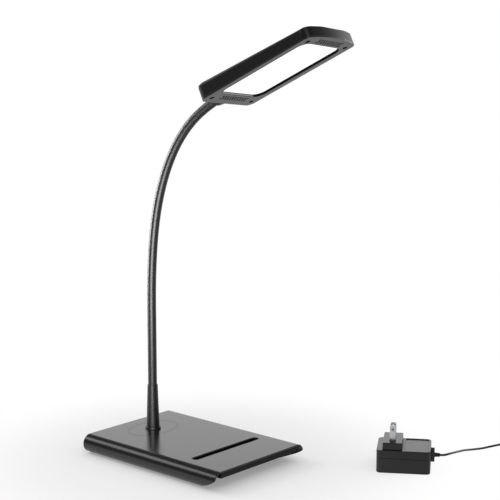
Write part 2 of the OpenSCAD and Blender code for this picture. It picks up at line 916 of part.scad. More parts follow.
// Side view of the head above a height: round top edge at the neck end, bevelled top edge at the tip
module head_side(inset, z) {
    r = max(neck_edge_r - inset, inner_edge_r);
    x = inset + r;
    mid_z = roof(x) - inset - r / cos(slope);
    tip = head_l - inset;
    polygon([[inset, z], [inset, mid_z], [x + r * sin(slope), mid_z + r * cos(slope)],
             [tip - tip_bevel, roof(tip - tip_bevel) - inset], [tip, roof(tip) - tip_bevel - inset], [tip, z]]);
    translate([x, mid_z])
        circle(r);
}

// Whole form of the head above a height, drawn in on all sides
module head_form(inset, z) {
    intersection() {
        slab(z, head_h_neck)
            head_plan(inset);
        rotate([90, 0, 0])
            linear_extrude(head_w, center = true)
                head_side(inset, z);
        on_roof()
            rotate([90, 0, 90])
                translate([0, 0, -head_l / 2])
                    linear_extrude(2 * head_l)
                        roof_section(inset);
    }
}

module screw_places(z) {
    for (x = [screw_x, screw_x + screw_l], y = [-1, 1])
        translate([x, y * screw_w / 2, z])
            children();
}

module head_housing() {
    color([0.1, 0.1, 0.105])
        head_frame()
            difference() {
                union() {
                    difference() {
                        head_form(0, bezel_t);
                        head_form(head_wall, bezel_t - over);
                    }
                    intersection() {
                        head_form(head_wall / 2, bezel_t);
                        union() {
                            screw_places(boss_h)
                                cylinder(d = boss_d, h = head_h_neck);
                            for (x = rib_places)
                                translate([x - rib_t / 2, -rib_w / 2, heat_top])
                                    cube([rib_t, rib_w, head_h_neck]);
                        }
                    }
                }
                screw_places(boss_h - over)
                    cylinder(d = screw_shank_d, h = over + screw_bite);
                translate([-over, 0, neck_in_z])
                    rotate([0, 90, 0])
                        cylinder(d = cup_d + 2 * fit, h = head_wall + 2 * over);
                on_roof()
                    translate([touch_x, 0, -touch_t])
                        slab(0, touch_t + over)
                            round_rect(touch_l, touch_w, touch_r);
            }
}

// Staggered vent holes, three rows about a middle row
module vents(x) {
    half = (vent_count - 1) / 2;
    for (row = [-1, 1], k = [-half : half])
        translate([x + row * vent_row, k * vent_step, -over])
            cylinder(d = vent_d, h = bezel_t + 2 * over, $fn = 24);
    for (k = [-half : half - 1])
        translate([x, (k + 0.5) * vent_step, -over])
            cylinder(d = vent_d, h = bezel_t + 2 * over, $fn = 24);
}

// Round-edged slab of the bezel, seen from one side
module bezel_side(l, deep) {
    r = bezel_edge_r;
    translate([0, r])
        square([l, deep - r]);
    translate([r, 0])
        square([l - 2 * r, deep]);
    for (x = [r, l - r])
        translate([x, r])
            circle(r);
}

module window_plan(margin) {
    translate([window_mid, 0])
        round_rect(window_l + 2 * margin, window_w + 2 * margin, window_r + margin);
}

module head_bezel() {
    color([0.2, 0.2, 0.21])
        head_frame()
            difference() {
                union() {
                    intersection() {
                        slab(0, bezel_t)
                            head_plan();
                        rotate([90, 0, 0])
                            linear_extrude(head_w, center = true)
                                bezel_side(head_l, 2 * bezel_t);
                        translate([0, -head_w / 2, 0])
                            rotate([90, 0, 90])
                                linear_extrude(head_l)
                                    bezel_side(head_w, 2 * bezel_t);
                    }
                    slab(bezel_t - bezel_t / 2, window_depth - bezel_t / 2)
                        window_plan(rim_t);
                    screw_places(bezel_t / 2)
                        cylinder(d = boss_d, h = boss_h - bezel_t / 2);
                }
                slab(-over, window_depth + 2 * over)
                    window_plan(0);
                screw_places(-over)
                    cylinder(d = screw_hole_d, h = boss_h - boss_floor + over);
                screw_places(0)
                    cylinder(d = screw_shank_d + 2 * fit, h = boss_h + over);
                vents(vent_x_neck);
                vents(vent_x_tip);
            }
}

module bezel_screws() {
    color([0.25, 0.25, 0.26])
        head_frame()
            screw_places(boss_h - boss_floor - screw_head_h) {
                cylinder(d = screw_hole_d - 2 * fit, h = screw_head_h);
                cylinder(d = screw_shank_d - 2 * fit, h = screw_head_h + boss_floor + boss_t);
            }
}

module light_layer(z, h) {
    head_frame()
        slab(z, h)
            window_plan(seat);
}

module diffuser() {
    color([0.97, 0.97, 0.95])
        light_layer(diffuser_z, diffuser_t);
}

module light_guide() {
    color([0.85, 0.92, 0.95])
        light_layer(guide_z, guide_t);
}

module reflector_sheet() {
    color([0.95, 0.95, 0.95])
        light_layer(reflector_z, reflector_t);
}

module heat_plate() {
    color([0.75, 0.76, 0.78])
        light_layer(heat_z, heat_plate_t);
}

module led_strip(side) {
    mid_y = window_w / 2 + seat + fit + led_t / 2;
    color([0.95, 0.9, 0.6])
        head_frame()
            translate([window_mid - led_l / 2, side * mid_y - led_t / 2, guide_z])
                cube([led_l, led_t, guide_t]);
}

module touch_panel() {
    color([0.04, 0.04, 0.045])
        head_frame()
            on_roof()
                translate([touch_x, 0])
                    slab(-touch_t, touch_t)
                        round_rect(touch_l - 2 * fit, touch_w - 2 * fit, touch_r - fit);
}

module touch_board() {
    color([0.1, 0.32, 0.18])
        head_frame()
            on_roof()
                translate([touch_x - board_l / 2, -board_w / 2, -head_wall - board_t])
                    cube([board_l, board_w, board_t]);
}

module neck_collar() {
    color([0.09, 0.09, 0.095])
        head_frame()
            translate([-collar_l, 0, neck_in_z])
                rotate([0, 90, 0])
                    difference() {
                        cylinder(d1 = neck_d + 2 * collar_wall, d2 = collar_d, h = collar_l);
                        translate([0, 0, -over])
                            cylinder(d = neck_d + 2 * play, h = collar_l + 2 * over);
                    }
}

module neck_nut() {
    color([0.62, 0.62, 0.64])
        head_frame()
            translate([head_wall, 0, neck_in_z])
                rotate([0, 90, 0])
                    difference() {
                        cylinder(d = neck_nut_d, h = neck_nut_h, $fn = 6);
                        translate([0, 0, -over])
                            cylinder(d = cup_d + 2 * fit, h = neck_nut_h + 2 * over);
                    }
}

// Frame of the adapter: X along its front, Y back, Z up
module adapter_frame() {
    translate(adapter_at)
        rotate([0, 0, adapter_turn])
            children();
}

module case_plan(inset) {
    translate([adapter_w / 2, adapter_d / 2])
        round_rect(adapter_w - 2 * inset, adapter_d - 2 * inset, adapter_r - inset / 2);
}

module adapter_lower_case() {
    color([0.13, 0.13, 0.135])
        adapter_frame()
            difference() {
                slab(0, parting_h)
                    case_plan(0);
                difference() {
                    slab(adapter_wall, parting_h)
                        case_plan(adapter_wall);
                    for (x = [post_in, adapter_w - post_in], y = [post_in, adapter_d - post_in])
                        translate([x, y, 0])
                            cylinder(d = post_d, h = case_board_z);
                }
                relief_neck(adapter_wall + fit);
            }
}

module adapter_upper_case() {
    panel_l = adapter_w - panel_x - panel_margin;
    panel_w = adapter_d - 2 * panel_margin;
    color([0.13, 0.13, 0.135])
        adapter_frame()
            difference() {
                slab(parting_h, adapter_h - parting_h)
                    case_plan(0);
                slab(parting_h - over, adapter_h - parting_h - adapter_wall + over)
                    case_plan(adapter_wall);
                translate([panel_x + panel_l / 2, adapter_d / 2])
                    slab(adapter_h - panel_depth, panel_depth + over)
                        round_rect(panel_l, panel_w, panel_r);
                translate([block_x - fit, block_y - fit, parting_h + over])
                    cube([block_w + 2 * fit, block_d + 2 * fit, adapter_h]);
                relief_neck(adapter_wall + fit);
            }
}

module plug_block() {
    color([0.1, 0.1, 0.105])
        adapter_frame()
            difference() {
                union() {
                    translate([block_x + block_w / 2, block_y + block_d / 2])
                        slab(adapter_h - adapter_wall - block_seat, block_h + adapter_wall + block_seat)
                            round_rect(block_w, block_d, block_r);
                    translate([block_x - block_flange, block_y, adapter_h - adapter_wall - block_seat])
                        cube([block_w + 2 * block_flange, block_d + block_flange, block_seat]);
                }
                for (y = [blade_y, blade_y + blade_gap])
                    translate([blade_x, y, adapter_h + block_h])
                        cube([blade_w + 2 * fit, blade_t + 2 * fit, 2 * blade_root], center = true);
            }
}

// Flat blade with a round end and a hole
module plug_blade(y) {
    h = blade_root + blade_l;
    color([0.8, 0.8, 0.82])
        adapter_frame()
            translate([blade_x, y, adapter_h + block_h - blade_root + h / 2])
                rotate([90, 0, 0])
                    linear_extrude(blade_t, center = true)
                        difference() {
                            union() {
                                round_rect(blade_w, h, blade_tip_r);
                                translate([-blade_w / 2, -h / 2])
                                    square([blade_w, h / 2]);
                            }
                            translate([0, h / 2 - blade_hole_drop])
                                circle(d = blade_hole_d);
                        }
}

module adapter_board() {
    color([0.1, 0.32, 0.18])
        adapter_frame()
            translate([adapter_wall + play, adapter_r, case_board_z])
                cube([adapter_w - 2 * (adapter_wall + play), adapter_d - 2 * adapter_r, case_board_t]);
}

module transformer() {
    core_x = adapter_w - adapter_wall - core_w - core_in;
    core_y = adapter_d - adapter_r - core_l - core_in;
    color([0.85, 0.75, 0.3])
        adapter_frame()
            translate([core_x, core_y, case_board_z + case_board_t])
                cube([core_w, core_l, core_h]);
}

// Neck of the strain relief where it passes the case wall
module relief_neck(depth) {
    translate([adapter_w - depth, relief_y, relief_z])
        rotate([0, 90, 0])
            cylinder(d = relief_d + 2 * fit, h = depth + over);
}

module strain_relief() {
    step = relief_l / (2 * relief_ribs);
    color([0.08, 0.08, 0.085])
        adapter_frame()
            translate([adapter_w, relief_y, relief_z])
                rotate([0, 90, 0]) {
                    translate([0, 0, -adapter_wall])
                        cylinder(d = relief_d, h = adapter_wall + relief_boss_t);
                    slab(0, relief_boss_t)
                        stadium(relief_boss_h, relief_boss_w);
                    translate([0, 0, relief_boss_t])
                        cylinder(d1 = relief_d - 2 * relief_rib, d2 = cord_d + 2 * relief_wall, h = relief_l);
                    for (k = [0 : relief_ribs - 1])
                        translate([0, 0, relief_boss_t + 2 * k * step])
                            cylinder(d = relief_d - k * relief_rib, h = step);
                }
}

// Stored coil: the loops spiral in and out, layer on layer, and climb where the spiral turns back
function layer_of(turn) = floor(turn / loops_per_layer + 1e-6);
function climb(turn) =
    let (k = min(coil_layers - 1, round(turn / loops_per_layer)), past = turn - k * loops_per_layer)
    k == 0 ? 0 : k - 1 + max(0, min(1, past * 2 + 0.5));
function climbed(turn) =
    turn < loops_per_layer / 2 ? 0 : climb(turn);
function fold(turn) =
    let (k = layer_of(turn), f = turn / loops_per_layer - k)
    k % 2 == 0 ? 1 - f : f;
function coil_point(turn) =
    let (r = coil_inner_r + fold(turn) * loops_per_layer * loop_pitch, a = 360 * turn - 90)
    [coil_at[0] + r * cos(a), coil_at[1] + r * sin(a), coil_z + climbed(turn) * loop_pitch];
function coil_path() =
    concat([for (k = [-2, -1]) [coil_in[0] + k * cord_d, coil_in[1], coil_z]],
           [for (k = [0 : coil_steps]) coil_point(k / loop_rings)],
           [for (k = [1, 2]) [coil_in[0] + k * cord_d, coil_in[1], coil_top]]);

module power_cord() {
    color([0.12, 0.12, 0.125])
        adapter_frame()
            swept_tube(smooth(run_points, 3), cord_d / 2, cord_sides);
}

module cord_coil() {
    color([0.12, 0.12, 0.125])
        adapter_frame()
            swept_tube(coil_path(), cord_d / 2, loop_sides);
}

module plug_cord() {
    color([0.12, 0.12, 0.125])
        adapter_frame()
            swept_tube(smooth(tail_points, 3), cord_d / 2, cord_sides);
}

module cord_tie() {
    reach = coil_outer_r - coil_inner_r + cord_d + 2 * play;
    tall = (coil_layers - 1) * loop_pitch + cord_d + 2 * play;
    mid_r = (coil_outer_r + coil_inner_r) / 2;
    color([0.08, 0.08, 0.085])
        adapter_frame()
            translate([coil_at[0] - mid_r, coil_at[1], tie_t + tall / 2])
                difference() {
                    cube([reach + 2 * tie_t, tie_w, tall + 2 * tie_t], center = true);
                    cube([reach, tie_w + 2 * over, tall], center = true);
                }
}

// Frame of the plug: Z along its axis, from the cord to the barrel
module plug_frame() {
    adapter_frame()
        translate(last(tail_points))
            rotate([0, 90, plug_turn])
                children();
}

module dc_plug_grip() {
    color([0.08, 0.08, 0.085])
        plug_frame()
            difference() {
                union() {
                    cylinder(d1 = cord_d + 2 * grip_lip, d2 = grip_d - 2 * grip_step, h = grip_waist);
                    translate([0, 0, grip_waist])
                        cylinder(d = grip_d, h = grip_l - grip_waist);
                }
                translate([0, 0, grip_l - barrel_root])
                    cylinder(d = barrel_root_d, h = barrel_root + over);
            }
}

module dc_plug_barrel() {
    color([0.8, 0.8, 0.82])
        plug_frame()
            difference() {
                union() {
                    translate([0, 0, grip_l - barrel_root])
                        cylinder(d = barrel_root_d - 2 * fit, h = barrel_root + over);
                    translate([0, 0, grip_l])
                        cylinder(d = barrel_d, h = barrel_l);
                }
                translate([0, 0, grip_l + over])
                    cylinder(d = barrel_bore_d, h = barrel_l);
            }
}

// Least gap between parts of the coil that are at least half a turn apart
coil_points = coil_path();
coil_gap = min([for (i = [0 : len(coil_points) - 1], j = [i + loop_rings / 2 : 1 : len(coil_points) - 1])
                   norm(coil_points[i] - coil_points[j])]) - cord_d;
echo(least_gap_between_loops_mm = coil_gap);

base_shell();
bottom_cover();
ballast_plate();
foot(-foot_x, foot_front - base_d / 2);  // foot_front_left
foot(foot_x, foot_front - base_d / 2);  // foot_front_right
foot(-foot_x, base_d / 2 - foot_back);  // foot_back_left
foot(foot_x, base_d / 2 - foot_back);  // foot_back_right
cover_screws();
slot_liner();
stem_plate();
stem_bracket();
dc_jack();
control_board();
stem_stud();
stem_washer();
stem_nut();
ferrule_flange();
stem_ferrule();
neck_sleeve();
neck_lead();
core_link(0);  // neck_core_1
core_link(1);  // neck_core_2
core_link(2);  // neck_core_3
core_link(3);  // neck_core_4
core_link(4);  // neck_core_5
core_link(5);  // neck_core_6
core_link(6);  // neck_core_7
core_link(7);  // neck_core_8
core_link(8);  // neck_core_9
core_link(9);  // neck_core_10
core_link(10);  // neck_core_11
core_link(11);  // neck_core_12
neck_collar();
neck_nut();
head_housing();
head_bezel();
diffuser();
light_guide();
reflector_sheet();
led_strip(-1);  // led_strip_left
led_strip(1);  // led_strip_right
heat_plate();
touch_panel();
touch_board();
bezel_screws();
adapter_lower_case();
adapter_upper_case();
plug_block();
plug_blade(blade_y);  // plug_blade_front
plug_blade(blade_y + blade_gap);  // plug_blade_rear
adapter_board();
transformer();
strain_relief();
power_cord();
cord_coil();
cord_tie();
plug_cord();
dc_plug_grip();
dc_plug_barrel();
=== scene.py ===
# %% [markdown]
# # A desk lamp with a flexible neck
# This lesson dresses a measured lamp for a picture: a rolled steel base, a rubber neck that bends, a
# thin light head and a plug-in adapter on a thin cord. The solids come in first, already in their
# places and in metres. Nothing here changes a size. We round the edges that a real press or mould would
# round, make the soft pieces that a solid modeller draws stiffly, and then give every surface its
# finish.

# %% Load the measured lamp
import json
import math

import bpy
from mathutils import Matrix, Vector
from mathutils.geometry import convex_hull_2d


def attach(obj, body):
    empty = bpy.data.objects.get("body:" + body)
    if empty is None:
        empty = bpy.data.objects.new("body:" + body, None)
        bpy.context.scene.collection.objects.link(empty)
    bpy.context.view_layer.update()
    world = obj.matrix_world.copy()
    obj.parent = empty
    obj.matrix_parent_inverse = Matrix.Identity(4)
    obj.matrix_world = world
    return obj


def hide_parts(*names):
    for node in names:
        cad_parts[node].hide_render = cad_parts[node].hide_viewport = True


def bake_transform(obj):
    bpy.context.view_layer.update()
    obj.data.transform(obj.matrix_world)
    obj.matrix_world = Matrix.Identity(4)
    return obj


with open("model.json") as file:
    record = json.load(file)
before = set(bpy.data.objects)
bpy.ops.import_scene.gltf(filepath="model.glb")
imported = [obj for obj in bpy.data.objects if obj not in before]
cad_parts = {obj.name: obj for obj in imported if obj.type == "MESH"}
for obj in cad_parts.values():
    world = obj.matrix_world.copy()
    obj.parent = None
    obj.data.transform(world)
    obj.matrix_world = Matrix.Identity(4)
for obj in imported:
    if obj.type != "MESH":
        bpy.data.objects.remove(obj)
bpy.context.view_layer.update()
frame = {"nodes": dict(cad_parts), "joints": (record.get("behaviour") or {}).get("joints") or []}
solids = frame["nodes"]
MM = 0.001
loaded_finishes = len(bpy.data.materials)

# %% [markdown]
# ## The camera
# The picture was taken from the front left with a long lens, from the height of the lamp's head and
# looking slightly down. The numbers were worked out from the base: its four top corners fix the lens
# and the place of the camera to a third of a pixel. Doing the camera first means that every later look
# is compared with the photograph through the same eye.

# %% Camera
PHOTO_PIXELS = 500
FOCAL_PIXELS = 1359
SENSOR_MM = 36
LOOKS_DOWN, TURNED = 9.38, -48.27
camera_data = bpy.data.cameras.new("photo_camera")
camera_data.sensor_width = SENSOR_MM
camera_data.lens = FOCAL_PIXELS * SENSOR_MM / PHOTO_PIXELS
camera_data.clip_start = 0.05
camera = bpy.data.objects.new("photo_camera", camera_data)
camera.location = (-1.0344, -1.0078, 0.4704)
camera.rotation_euler = (math.radians(90 - LOOKS_DOWN), 0, math.radians(TURNED))
bpy.context.scene.collection.objects.link(camera)
bpy.context.scene.camera = camera
print("lens, mm:", round(camera_data.lens, 2))

# %% [markdown]
# ## Small helpers
# Operators act on whatever is selected, and the loaded solids arrive selected. So each piece starts by
# letting go of everything else. `traced` takes a copy of a solid: its loose triangles are merged into
# one skin and the flat faces are joined again, which leaves clean edges for a bevel to work on.


# %% Selecting and tracing
def hold_only(obj):
    bpy.ops.object.select_all(action="DESELECT")
    obj.select_set(True)
    bpy.context.view_layer.objects.active = obj


def traced(node, name):
    piece = bpy.data.objects.new(name, solids[node].data.copy())
    bpy.context.scene.collection.objects.link(piece)
    piece.data.materials.clear()
    hold_only(piece)
    if piece.data.has_custom_normals:
        bpy.ops.mesh.customdata_custom_splitnormals_clear()
    bpy.ops.object.mode_set(mode="EDIT")
    bpy.ops.mesh.select_all(action="SELECT")
    bpy.ops.mesh.remove_doubles(threshold=0.002 * MM)
    bpy.ops.mesh.dissolve_limited(angle_limit=math.radians(0.3))
    bpy.ops.object.mode_set(mode="OBJECT")
    return piece


def even_shading(piece):
    """Smooth over the small facets, and let the large flat faces set the shading beside them."""
    hold_only(piece)
    bpy.ops.object.shade_smooth_by_angle(angle=math.radians(32))
    even = piece.modifiers.new("even", "WEIGHTED_NORMAL")
    even.keep_sharp = True
    bpy.ops.object.modifier_apply(modifier=even.name)
    return piece


def round_edges(piece, width_mm, segments=2, sharper_than=38):
    hold_only(piece)
    bevel = piece.modifiers.new("edge", "BEVEL")
    bevel.width = width_mm * MM
    bevel.segments = segments
    bevel.limit_method = "ANGLE"
    bevel.angle_limit = math.radians(sharper_than)
    bevel.use_clamp_overlap = False
    bpy.ops.object.modifier_apply(modifier=bevel.name)
    return even_shading(piece)


def place_on(piece, body, slot, material, *nodes):
    piece.data.materials.append(material)
    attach(piece, body)
    if nodes:
        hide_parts(*nodes)
    return piece


# %% [markdown]
# ## Finishes
# Each finish is named for what the real surface is. Colours are written as the hex values that a paint
# card would carry, and one function turns them into the linear light that the shader wants. One more
# function adds a node. Grain, orange peel and brush marks are sized in millimetres and then turned into
# texture scales.


# %% Colour and node helpers
def linear(hex_colour):
    channels = [int(hex_colour[k:k + 2], 16) / 255 for k in (1, 3, 5)]
    return [c / 12.92 if c <= 0.04045 else ((c + 0.055) / 1.055) ** 2.4 for c in channels] + [1.0]


def add(tree, kind, values=None, links=None, **settings):
    node = tree.nodes.new(kind)
    for name, value in settings.items():
        setattr(node, name, value)
    for socket, value in (values or {}).items():
        node.inputs[socket].default_value = value
    for socket, source in (links or {}).items():
        tree.links.new(source, node.inputs[socket])
    return node


def per_mm(size_mm):
    return 1 / (size_mm * MM)


def new_finish(name, sockets):
    material = bpy.data.materials.new(name)
    material.use_nodes = True
    shader = material.node_tree.nodes["Principled BSDF"]
    for socket, value in sockets.items():
        shader.inputs[socket].default_value = value
    return material, material.node_tree, shader


def grained(name, dark, light, patch_mm, grain_mm, bump_mm, rough, gloss_level=0.5):
    """A moulded or coated surface: slow colour patches, a fine grain in the relief, uneven gloss."""
    material, tree, shader = new_finish(name, {"IOR": 1.5, "Specular IOR Level": gloss_level})
    place = add(tree, "ShaderNodeTexCoord")
    patches = add(tree, "ShaderNodeTexNoise", {"Scale": per_mm(patch_mm), "Detail": 3.0, "Roughness": 0.55},
                  {"Vector": place.outputs["Object"]})
    grain = add(tree, "ShaderNodeTexNoise", {"Scale": per_mm(grain_mm), "Detail": 2.0, "Roughness": 0.6},
                {"Vector": place.outputs["Object"]})
    colour = add(tree, "ShaderNodeValToRGB", links={"Fac": patches.outputs["Fac"]})
    colour.color_ramp.elements[0].position = 0.3
    colour.color_ramp.elements[0].color = linear(dark)
    colour.color_ramp.elements[1].position = 0.7
    colour.color_ramp.elements[1].color = linear(light)
    gloss = add(tree, "ShaderNodeMapRange", {"To Min": rough - 0.05, "To Max": rough + 0.05},
                {"Value": grain.outputs["Fac"]})
    relief = add(tree, "ShaderNodeBump", {"Strength": 0.35, "Distance": bump_mm * MM},
                 {"Height": grain.outputs["Fac"]})
    tree.links.new(colour.outputs["Color"], shader.inputs["Base Color"])
    tree.links.new(gloss.outputs["Result"], shader.inputs["Roughness"])
    tree.links.new(relief.outputs["Normal"], shader.inputs["Normal"])
    return material


# %% [markdown]
# Most of the lamp is black, but not one black. The base is powder coat on steel: a satin skin with a
# faint orange peel. The head and stem are ABS from a spark-eroded mould, which is matt. The bezel came
# from a smoother mould. The neck and cord are soft and smooth. All of them mirror a white room at a
# flat angle, which is why the top of the base looks grey in the photograph.

# %% Black finishes
# The real grit of these plastics is near 0.1 mm, too fine to show, so it is drawn at 0.5 to 0.8 mm.
# Baked powder on steel: satin, with an orange peel that softens every reflection.
powder_coat = grained("powder_coated_steel", "#1a1a1b", "#1e1e1f", 40, 0.9, 0.01, 0.22)
# ABS from a spark-eroded mould: matt, with broad dull highlights.
moulded_abs = grained("spark_textured_abs", "#141415", "#181819", 30, 0.7, 0.006, 0.38, 0.4)
# ABS from a smoother mould: a shade lighter, with a soft sheen.
bezel_abs = grained("satin_abs_bezel", "#1d1d1f", "#222224", 30, 0.7, 0.015, 0.36)
# ABS with a light texture: glossier than the head, so each face of the adapter reads apart.
adapter_abs = grained("textured_abs_adapter", "#1a1a1c", "#202022", 18, 0.6, 0.012, 0.26)
# Smooth silicone: almost no relief, so the neck carries long bands of light.
silicone = grained("black_silicone_sleeve", "#101011", "#141415", 25, 1.2, 0.0008, 0.36)
# Soft PVC: a dark grey with a little gloss.
soft_pvc = grained("black_pvc_cord", "#242425", "#2c2c2d", 12, 0.8, 0.015, 0.32)
# Moulded rubber: dull and grainy.
rubber = grained("moulded_rubber_foot", "#101010", "#161616", 6, 0.5, 0.04, 0.75)
# Black nylon: it mirrors little, so a slot lined with it looks deep.
plain_black = grained("black_nylon_moulding", "#0c0c0d", "#111112", 15, 0.6, 0.03, 0.5, 0.2)
# Polished acrylic: a near mirror, with the slow waves of a cast sheet.
gloss_black = grained("gloss_black_acrylic", "#060607", "#09090a", 30, 2.0, 0.002, 0.1)
# Painted shade: a flat black, quite matt, that takes the light away in the window's well and the holes.
painted_shade_black = grained("painted_shade_flat_black", "#060606", "#090909", 20, 0.5, 0.01, 0.85, 0.1)
# Woven nylon: threads half a millimetre wide, with a dull fuzzy face.
hook_tape = grained("woven_nylon_tie", "#0d0d0e", "#1c1c1d", 1.2, 0.5, 0.25, 0.85)
print("black finishes:", len(bpy.data.materials) - loaded_finishes)


# %% [markdown]
# The bright pieces are few: the plug's blades are brass under bright nickel, drawn through rollers, so
# fine lines run along them. Screws, studs and nuts are zinc plated. The hidden steel, the aluminium
# heat plate and the boards get their own finishes too, so that an opened lamp also looks right.


# %% Metals
def drawn_metal(name, colour, line_mm, rough, stretch):
    """A rolled or drawn metal: long fine lines in gloss and relief."""
    material, tree, shader = new_finish(name, {"Metallic": 1.0})
    place = add(tree, "ShaderNodeTexCoord")
    turned = add(tree, "ShaderNodeMapping", {"Scale": stretch}, {"Vector": place.outputs["Object"]})
    lines = add(tree, "ShaderNodeTexNoise", {"Scale": per_mm(line_mm), "Detail": 3.0},
                {"Vector": turned.outputs["Vector"]})
    shade = add(tree, "ShaderNodeValToRGB", links={"Fac": lines.outputs["Fac"]})
    bright = linear(colour)
    shade.color_ramp.elements[0].color = [0.8 * c for c in bright[:3]] + [1.0]
    shade.color_ramp.elements[1].color = bright
    gloss = add(tree, "ShaderNodeMapRange", {"To Min": rough - 0.07, "To Max": rough + 0.07},
                {"Value": lines.outputs["Fac"]})
    relief = add(tree, "ShaderNodeBump", {"Strength": 0.2, "Distance": 0.01 * MM},
                 {"Height": lines.outputs["Fac"]})
    tree.links.new(shade.outputs["Color"], shader.inputs["Base Color"])
    tree.links.new(gloss.outputs["Result"], shader.inputs["Roughness"])
    tree.links.new(relief.outputs["Normal"], shader.inputs["Normal"])
    return material


# Real rolling lines are some hundredths of a millimetre wide. They are drawn ten times coarser to show.
# Bright nickel on brass: almost white, with long fine lines.
nickel = drawn_metal("nickel_plated_brass", "#e2e3e6", 0.5, 0.3, (1, 1, 0.08))
# Zinc plate: pale grey and slightly streaked.
zinc = drawn_metal("zinc_plated_steel", "#b4b7ba", 0.6, 0.34, (1, 1, 0.3))
# Blackened steel: dark, with a small glint.
black_screw = drawn_metal("blackened_steel_screw", "#3a3a3c", 0.5, 0.4, (1, 1, 1))
# Cold-rolled steel: mid grey, lined from front to back.
cold_rolled = drawn_metal("cold_rolled_steel", "#8d8f92", 0.8, 0.42, (1, 0.1, 1))
# Aluminium as it leaves the mill: pale, with the same lines.
heat_alloy = drawn_metal("mill_finish_aluminium", "#c9cbce", 0.7, 0.38, (1, 0.1, 1))
print("finishes with the metals:", len(bpy.data.materials) - loaded_finishes)

# %% [markdown]
# The light window is a frosted acrylic sheet lit from its edges. From outside it is simply an even
# white, so it gives off light by itself, as white as the paper, but only through the face that looks
# out of the head: its back and its edges stay dark, so no light leaks out of the vents. Behind it lie
# clear acrylic, a white reflector and two rows of diodes, which nobody sees until the head is opened.


# %% Light pieces and boards
def lit(name, colour, strength, rough, out):
    material, tree, shader = new_finish(name, {"Roughness": rough})
    place = add(tree, "ShaderNodeTexCoord")
    facing = add(tree, "ShaderNodeVectorMath", {1: out}, {0: place.outputs["Normal"]},
                 operation="DOT_PRODUCT")
    front = add(tree, "ShaderNodeMapRange", {"From Min": 0.6, "From Max": 0.9, "To Max": strength},
                {"Value": facing.outputs["Value"]})
    tree.links.new(front.outputs["Result"], shader.inputs["Emission Strength"])
    haze = add(tree, "ShaderNodeTexNoise", {"Scale": per_mm(25), "Detail": 2.0},
               {"Vector": place.outputs["Object"]})
    tone = add(tree, "ShaderNodeValToRGB", links={"Fac": haze.outputs["Fac"]})
    white = linear(colour)
    tone.color_ramp.elements[0].color = [0.985 * c for c in white[:3]] + [1.0]
    tone.color_ramp.elements[1].color = white
    tree.links.new(tone.outputs["Color"], shader.inputs["Base Color"])
    tree.links.new(tone.outputs["Color"], shader.inputs["Emission Color"])
    return material


window = max(solids["diffuser"].data.polygons, key=lambda face: face.area * (face.normal.z < 0))
OUT = window.normal.copy()
print("the window looks along:", [round(c, 3) for c in OUT])
# Frosted acrylic, lit: an even white with the faintest haze.
frosted = lit("frosted_acrylic_diffuser", "#ffffff", 1.0, 0.5, OUT)
# Painted light: a grey for the window's glow on the end wall beside the neck, lighter than the black round
# it.
painted_glow_grey = grained("painted_window_glow_grey", "#8c8e90", "#979a9c", 20, 0.8, 0.01, 0.5)
# Phosphor over the diodes: pale yellow in daylight.
phosphor = grained("phosphor_diode_strip", "#e8d690", "#f4e3a0", 3, 0.6, 0.02, 0.4)
# Reflector film: a clean, nearly even white.
reflector_film = grained("white_reflector_film", "#efefef", "#f6f6f6", 20, 0.8, 0.005, 0.45)
# Polished clear acrylic: one looks through it and sees a small gloss.
clear_sheet = grained("clear_acrylic_sheet", "#e6f1f4", "#eef6f8", 30, 3.0, 0.001, 0.08)
clear_sheet.node_tree.nodes["Principled BSDF"].inputs["Transmission Weight"].default_value = 1.0
# Solder mask: deep green with a slight gloss.
solder_mask = grained("green_solder_mask", "#114022", "#175230", 2.5, 0.6, 0.03, 0.35)
# Polyester tape round a coil: yellow, and a little shiny.
yellow_tape = grained("yellow_coil_tape", "#b98f1f", "#d3a62b", 4, 0.8, 0.02, 0.45)
# PVC skin of a lead: plain red.
red_pvc = grained("red_pvc_lead", "#7d1512", "#8d1b17", 8, 0.6, 0.01, 0.4)
print("all finishes:", len(bpy.data.materials) - loaded_finishes)

# %% [markdown]
# ## The cord
# A thin lead leaves the adapter's strain relief, sinks to the desk and runs off to the right. What the
# picture doesn't show is put away in a neat coil just outside the view, with the barrel plug beside it.
# The whole cord is one curve: listed points for the free ends and a formula for the coil, whose
# four layers spiral in and out by turns. Working in the adapter's own axes keeps the numbers readable,
# and one matrix then turns them into the room.

# %% Route of the cord
ADAPTER_X, ADAPTER_Y, ADAPTER_TURN = 93.3 * MM, -181.8 * MM, -57
ADAPTER = (Matrix.Translation((ADAPTER_X, ADAPTER_Y, 0))
           @ Matrix.Rotation(math.radians(ADAPTER_TURN), 4, "Z"))
CORD_MM = 2.6
PITCH_MM = CORD_MM + 0.45
COIL_AT = (166, 139)
INNER_MM = 9
LAYERS = 4
LOOPS = 3.5
OUTER_MM = INNER_MM + LOOPS * PITCH_MM
TIE_MM, PLAY_MM = 0.9, 0.3
COIL_Z = TIE_MM + PLAY_MM + CORD_MM / 2
COIL_TOP = COIL_Z + (LAYERS - 1) * PITCH_MM
GRIP_R = 5
RELIEF_END = (67.4, 20, 16.4)
ROUTE_STEPS = 3
LOOP_STEPS = 36


def smooth_route(points, steps):
    """A curve through every point, with a fixed number of steps in each stretch."""
    last = len(points) - 1
    route = []
    for i in range(last):
        a, b, c, d = (Vector(points[min(max(k, 0), last)]) for k in (i - 1, i, i + 1, i + 2))
        for k in range(steps):
            t = k / steps
            route.append(0.5 * (2 * b + (c - a) * t + (2 * a - 5 * b + 4 * c - d) * t * t
                                + (3 * b - a - 3 * c + d) * t ** 3))
    return route + [Vector(points[last])]


